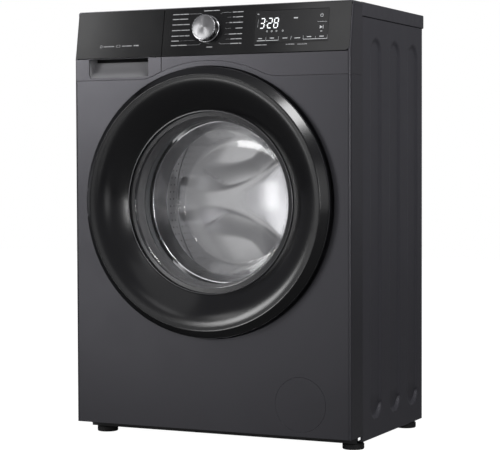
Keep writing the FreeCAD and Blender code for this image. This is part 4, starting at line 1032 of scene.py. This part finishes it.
# ---- knob
def knob():
    """The spun knob: a bright skirt and a turned face, in the knob's own axes."""
    place = Matrix.Translation(on_console(KNOB_ACROSS, KNOB_SLOPE)) @ Matrix(
        (Vector((1, 0, 0)), UP_SLOPE, -INTO_SLOPE)).transposed().to_4x4()
    skirt = [(0.0040, -0.0050), (0.0040, 0.0008), (0.0262, 0.0008), (0.0268, 0.0012),
             (0.0268, 0.0026), (0.0262, 0.0032), (0.0254, 0.0034), (0.0252, 0.0040),
             (0.0252, 0.0158), (0.0249, 0.0168), (0.0243, 0.0174), (0.0236, 0.0175),
             (0.0236, 0.0150), (0.0, 0.0150), (0.0, -0.0050)]
    face = [(0.0235, 0.0152), (0.0235, 0.0172), (0.0231, 0.0176), (0.0224, 0.0178),
            (0.0, 0.0178), (0.0, 0.0152)]
    for name, profile, surface, nodes in (("knob_skirt", skirt, KNOB_SIDE, ["program_knob"]),
                                          ("knob_face", face, KNOB_METAL, [])):
        mesh = lathe_mesh(name, profile, 128)
        mesh.transform(Matrix.Rotation(math.radians(90), 4, "X"))
        piece = placed(name, surfaced(mesh, surface, 30))
        piece.matrix_world = place
        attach(piece, "knob")
        for node in nodes:
            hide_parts(node)


knob()


# ---- door
HINGE_LUG = 0.025
FUNNEL_INNER = 0.1790
FUNNEL_WIDTH = 0.0660
FUNNEL_DEPTH = 0.0332
FUNNEL_CURVE = 1.8
RING_STEPS = 256


def door_ring():
    """The wide black ring, with the dished funnel that leads down to the glass."""
    front = RING_FRONT
    funnel = [(FUNNEL_INNER + FUNNEL_WIDTH * (1 - t),
               front + 0.0006 + FUNNEL_DEPTH * t ** FUNNEL_CURVE)
              for t in [step / 16 for step in range(17)]]
    rim = [(0.2612, -0.1930), (0.2590, -0.1903), (0.2585, -0.1900), (0.2572, -0.1900),
           (0.2578, -0.2080), (0.2500, -0.2150), (0.2430, -0.2150), (0.2280, -0.2082),
           (0.2050, -0.1968), (0.1900, -0.1872)]
    bevel = [(0.2458, front + 0.0003), (0.2468, front), (0.2478, front + 0.0003),
             (0.2487, front + 0.0010), (0.2600, front + 0.0118), (0.2609, front + 0.0128),
             (0.2615, front + 0.0139), (0.2617, front + 0.0152)]
    face = [(0.1770, -0.1846), (0.1768, -0.1856), (0.1775, -0.1863)]
    face += funnel[::-1] + bevel + rim
    ring = notched(lathe_mesh("door_ring_skin", face, RING_STEPS, AXIS_Z), hinge_rooms())
    finish_mesh("door_ring_skin", ring, "door", RING_BLACK, ["door_outer_ring"], 40)


def hinge_rooms():
    """Room for the two hinge lugs, which reach out past the ring's edge on an open door."""
    return [((-0.2665, -0.2112, AXIS_Z + side * HINGE_LUG - 0.0022),
             (-0.2435, -0.1830, AXIS_Z + side * HINGE_LUG + 0.0022)) for side in (-1, 1)]


def door_trims():
    """The bright bead round the window and the thin line round the ring's outer edge."""
    bead = arc((0.1772, -0.1866), 0.0010, 0, 360, 10)[:-1]
    turned("door_bead", bead, "door", BEAD, segments=RING_STEPS)
    trim = arc((0.2614, RING_FRONT + 0.0138), 0.0005, 0, 360, 8)[:-1]
    edge = notched(lathe_mesh("door_trim", trim, RING_STEPS, AXIS_Z), hinge_rooms())
    finish_mesh("door_trim", edge, "door", BEAD)


def door_bowl():
    """The deep glass bowl, and the black band printed round its rim."""
    bowl = [(0.1860, -0.1843), (0.1860, -0.1815), (0.1700, -0.1813), (0.1662, -0.1800),
            (0.1640, -0.1770), (0.1505, -0.1450), (0.1485, -0.1400), (0.1465, -0.1350),
            (0.1455, -0.1300), (0.1342, -0.0500), (0.1325, -0.0440), (0.1290, -0.0402),
            (0.1240, -0.0385), (0.0900, -0.0368), (0.0500, -0.0362), (0.0, -0.0360),
            (0.0, -0.0405), (0.0500, -0.0407), (0.0900, -0.0413), (0.1215, -0.0428),
            (0.1262, -0.0445), (0.1292, -0.0478), (0.1302, -0.0520), (0.1412, -0.1300),
            (0.1425, -0.1362), (0.1448, -0.1420), (0.1470, -0.1470), (0.1600, -0.1780),
            (0.1625, -0.1825), (0.1665, -0.1843)]
    turned("door_bowl", bowl, "door", BOWL_GLASS, ["door_glass"], sharp=60)
    frit = [(0.1672, -0.18146), (0.1858, -0.18146), (0.1858, -0.18130), (0.1680, -0.18130)]
    turned("bowl_frit", frit, "door", RING_BLACK)


def gasket():
    """The grey rubber bellows, with its lip against the bowl and a groove round it."""
    rubber = [(0.1724, -0.1785), (0.1795, -0.1785), (0.1800, -0.1780), (0.1800, -0.1625),
              (0.1830, -0.1600), (0.1890, -0.1560), (0.1900, -0.1540), (0.1900, -0.1450),
              (0.1880, -0.1430), (0.1750, -0.1385), (0.1740, -0.1370), (0.1740, -0.1285),
              (0.1690, -0.1285), (0.1690, -0.1385), (0.1700, -0.1400), (0.1820, -0.1460),
              (0.1830, -0.1475), (0.1830, -0.1505), (0.1815, -0.1520), (0.1720, -0.1590),
              (0.1660, -0.1570), (0.1600, -0.1555), (0.1588, -0.1562), (0.1584, -0.1580),
              (0.1596, -0.1592), (0.1650, -0.1608), (0.1700, -0.1632), (0.1718, -0.1650)]
    bellows = turned("gasket_bellows", rubber, None, GREY_RUBBER, ["door_gasket"], sharp=50)
    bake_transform(bellows)


def sump_hose():
    """The rubber hose that bends between the moving tub and the pump on the base."""
    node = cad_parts["sump_hose"]
    mesh = node.data.copy()
    mesh.transform(node.matrix_world)
    hose = finish_mesh("sump_hose_rubber", mesh, None, BLACK_RUBBER, ["sump_hose"])
    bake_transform(hose)


# ---- drum
STAR_ANGLES = (60, 180, 300)
STAR_RISE = 13


def star_height(across, up):
    """How far a point of the drum's back stands forward, in millimetres."""
    best = 0.0
    for angle in STAR_ANGLES:
        turn = math.radians(angle)
        along = across * math.cos(turn) + up * math.sin(turn)
        aside = abs(-across * math.sin(turn) + up * math.cos(turn))
        if along < -30:
            continue
        crest = 16 + 10 * ((along - 140) / 69) ** 2
        foot = 50 + (58 * ((140 - along) / 110) ** 2 if along < 140 else 0)
        foot = max(foot, crest + 12)
        best = max(best, pressed((foot - aside) / (foot - crest)))
    rim = smooth_step((230 - math.hypot(across, up)) / 12)
    return STAR_RISE * best * rim


def pressed(share):
    """A pressed step from 0 to 1: a straight flank between two tight bends."""
    bend = 0.16
    if share <= -bend or share >= 1 + bend:
        return 0.0 if share < 0.5 else 1.0
    if share < bend:
        return (share + bend) ** 2 / (4 * bend)
    if share > 1 - bend:
        return 1 - (1 + bend - share) ** 2 / (4 * bend)
    return share


def drum_neck():
    """The rolled nose of the drum's mouth and the tapered neck behind it."""
    nose = arc((0.1600, -0.1180), 0.0030, -10, -190, 8)
    tail = arc((0.1500, -0.0815), 0.0021, 200, -20, 8)
    profile = [(0.1626, -0.1125), (0.1630, -0.1150)] + nose[1:-1] + [(0.1571, -0.1165)]
    profile += [(0.1520, -0.1000), (0.1490, -0.0860)] + tail + [(0.1600, -0.1100)]
    turned("drum_neck", profile, "drum", DRUM_STEEL, sharp=60)


def drum_back():
    """The pressed steel back, raised in a three-armed star."""
    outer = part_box("drum_back")[1][0] / MM
    front_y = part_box("drum_back")[1][1] - 0.002
    rings, segments = 96, 288
    points = [(0, front_y - STAR_RISE * MM, AXIS_Z)]
    for ring in range(1, rings + 1):
        radius = outer * ring / rings
        for index in range(segments):
            angle = 2 * math.pi * index / segments
            across, up = radius * math.cos(angle), radius * math.sin(angle)
            points.append((across * MM, front_y - star_height(across, up) * MM, AXIS_Z + up * MM))
    faces = [(0, 1 + index, 1 + (index + 1) % segments) for index in range(segments)]
    mesh = mesh_from("drum_star", points, faces + quads(rings, segments, 1))
    piece = finish_mesh("drum_star", mesh, "drum", DRUM_STEEL, ["drum_back"], 60)
    shell = piece.modifiers.new("sheet", "SOLIDIFY")
    shell.thickness = 0.0008


door_ring()
door_trims()
door_bowl()
gasket()
sump_hose()
drum_neck()
drum_back()

# ---- CAD nodes that stay
NODE_SURFACES = {
    BLACK_PLASTIC: ["door_inner_frame", "door_lock", "drawer_housing", "pump_filter",
                    "transit_plugs", "cord_gland", "pressure_switch", "base_frame"],
    PAINT: ["filter_cover"],
    WHITE_PLASTIC: ["drawer_tray", "inlet_valve", "pump_housing"],
    TUB_PLASTIC: ["tub_front", "tub_rear", "drum_lifters"],
    CIRCUIT: ["control_board"],
    ZINC: ["rear_panel", "rear_cover", "top_brace", "door_hinge", "gasket_front_clamp",
           "gasket_rear_clamp"],
    DRUM_STEEL: ["hinge_pin", "latch_hook", "damper_rods", "ball_bearings", "motor_pulley",
                 "heater"],
    DRUM_WALL: ["drum_shell"],
    SPRING_STEEL: ["suspension_springs", "panel_screws", "tub_bolts", "damper_cylinders"],
    CAST: ["drum_spider", "drum_pulley", "motor_body"],
    BLACK_RUBBER: ["inlet_hose", "drain_hose", "drive_belt", "foot_front_left",
                   "foot_front_right", "foot_rear_left", "foot_rear_right"],
    CONCRETE: ["front_weight", "upper_weight"],
}
for surface, names in NODE_SURFACES.items():
    for name in names:
        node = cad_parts[name]
        for slot in node.material_slots:
            slot.material = surface
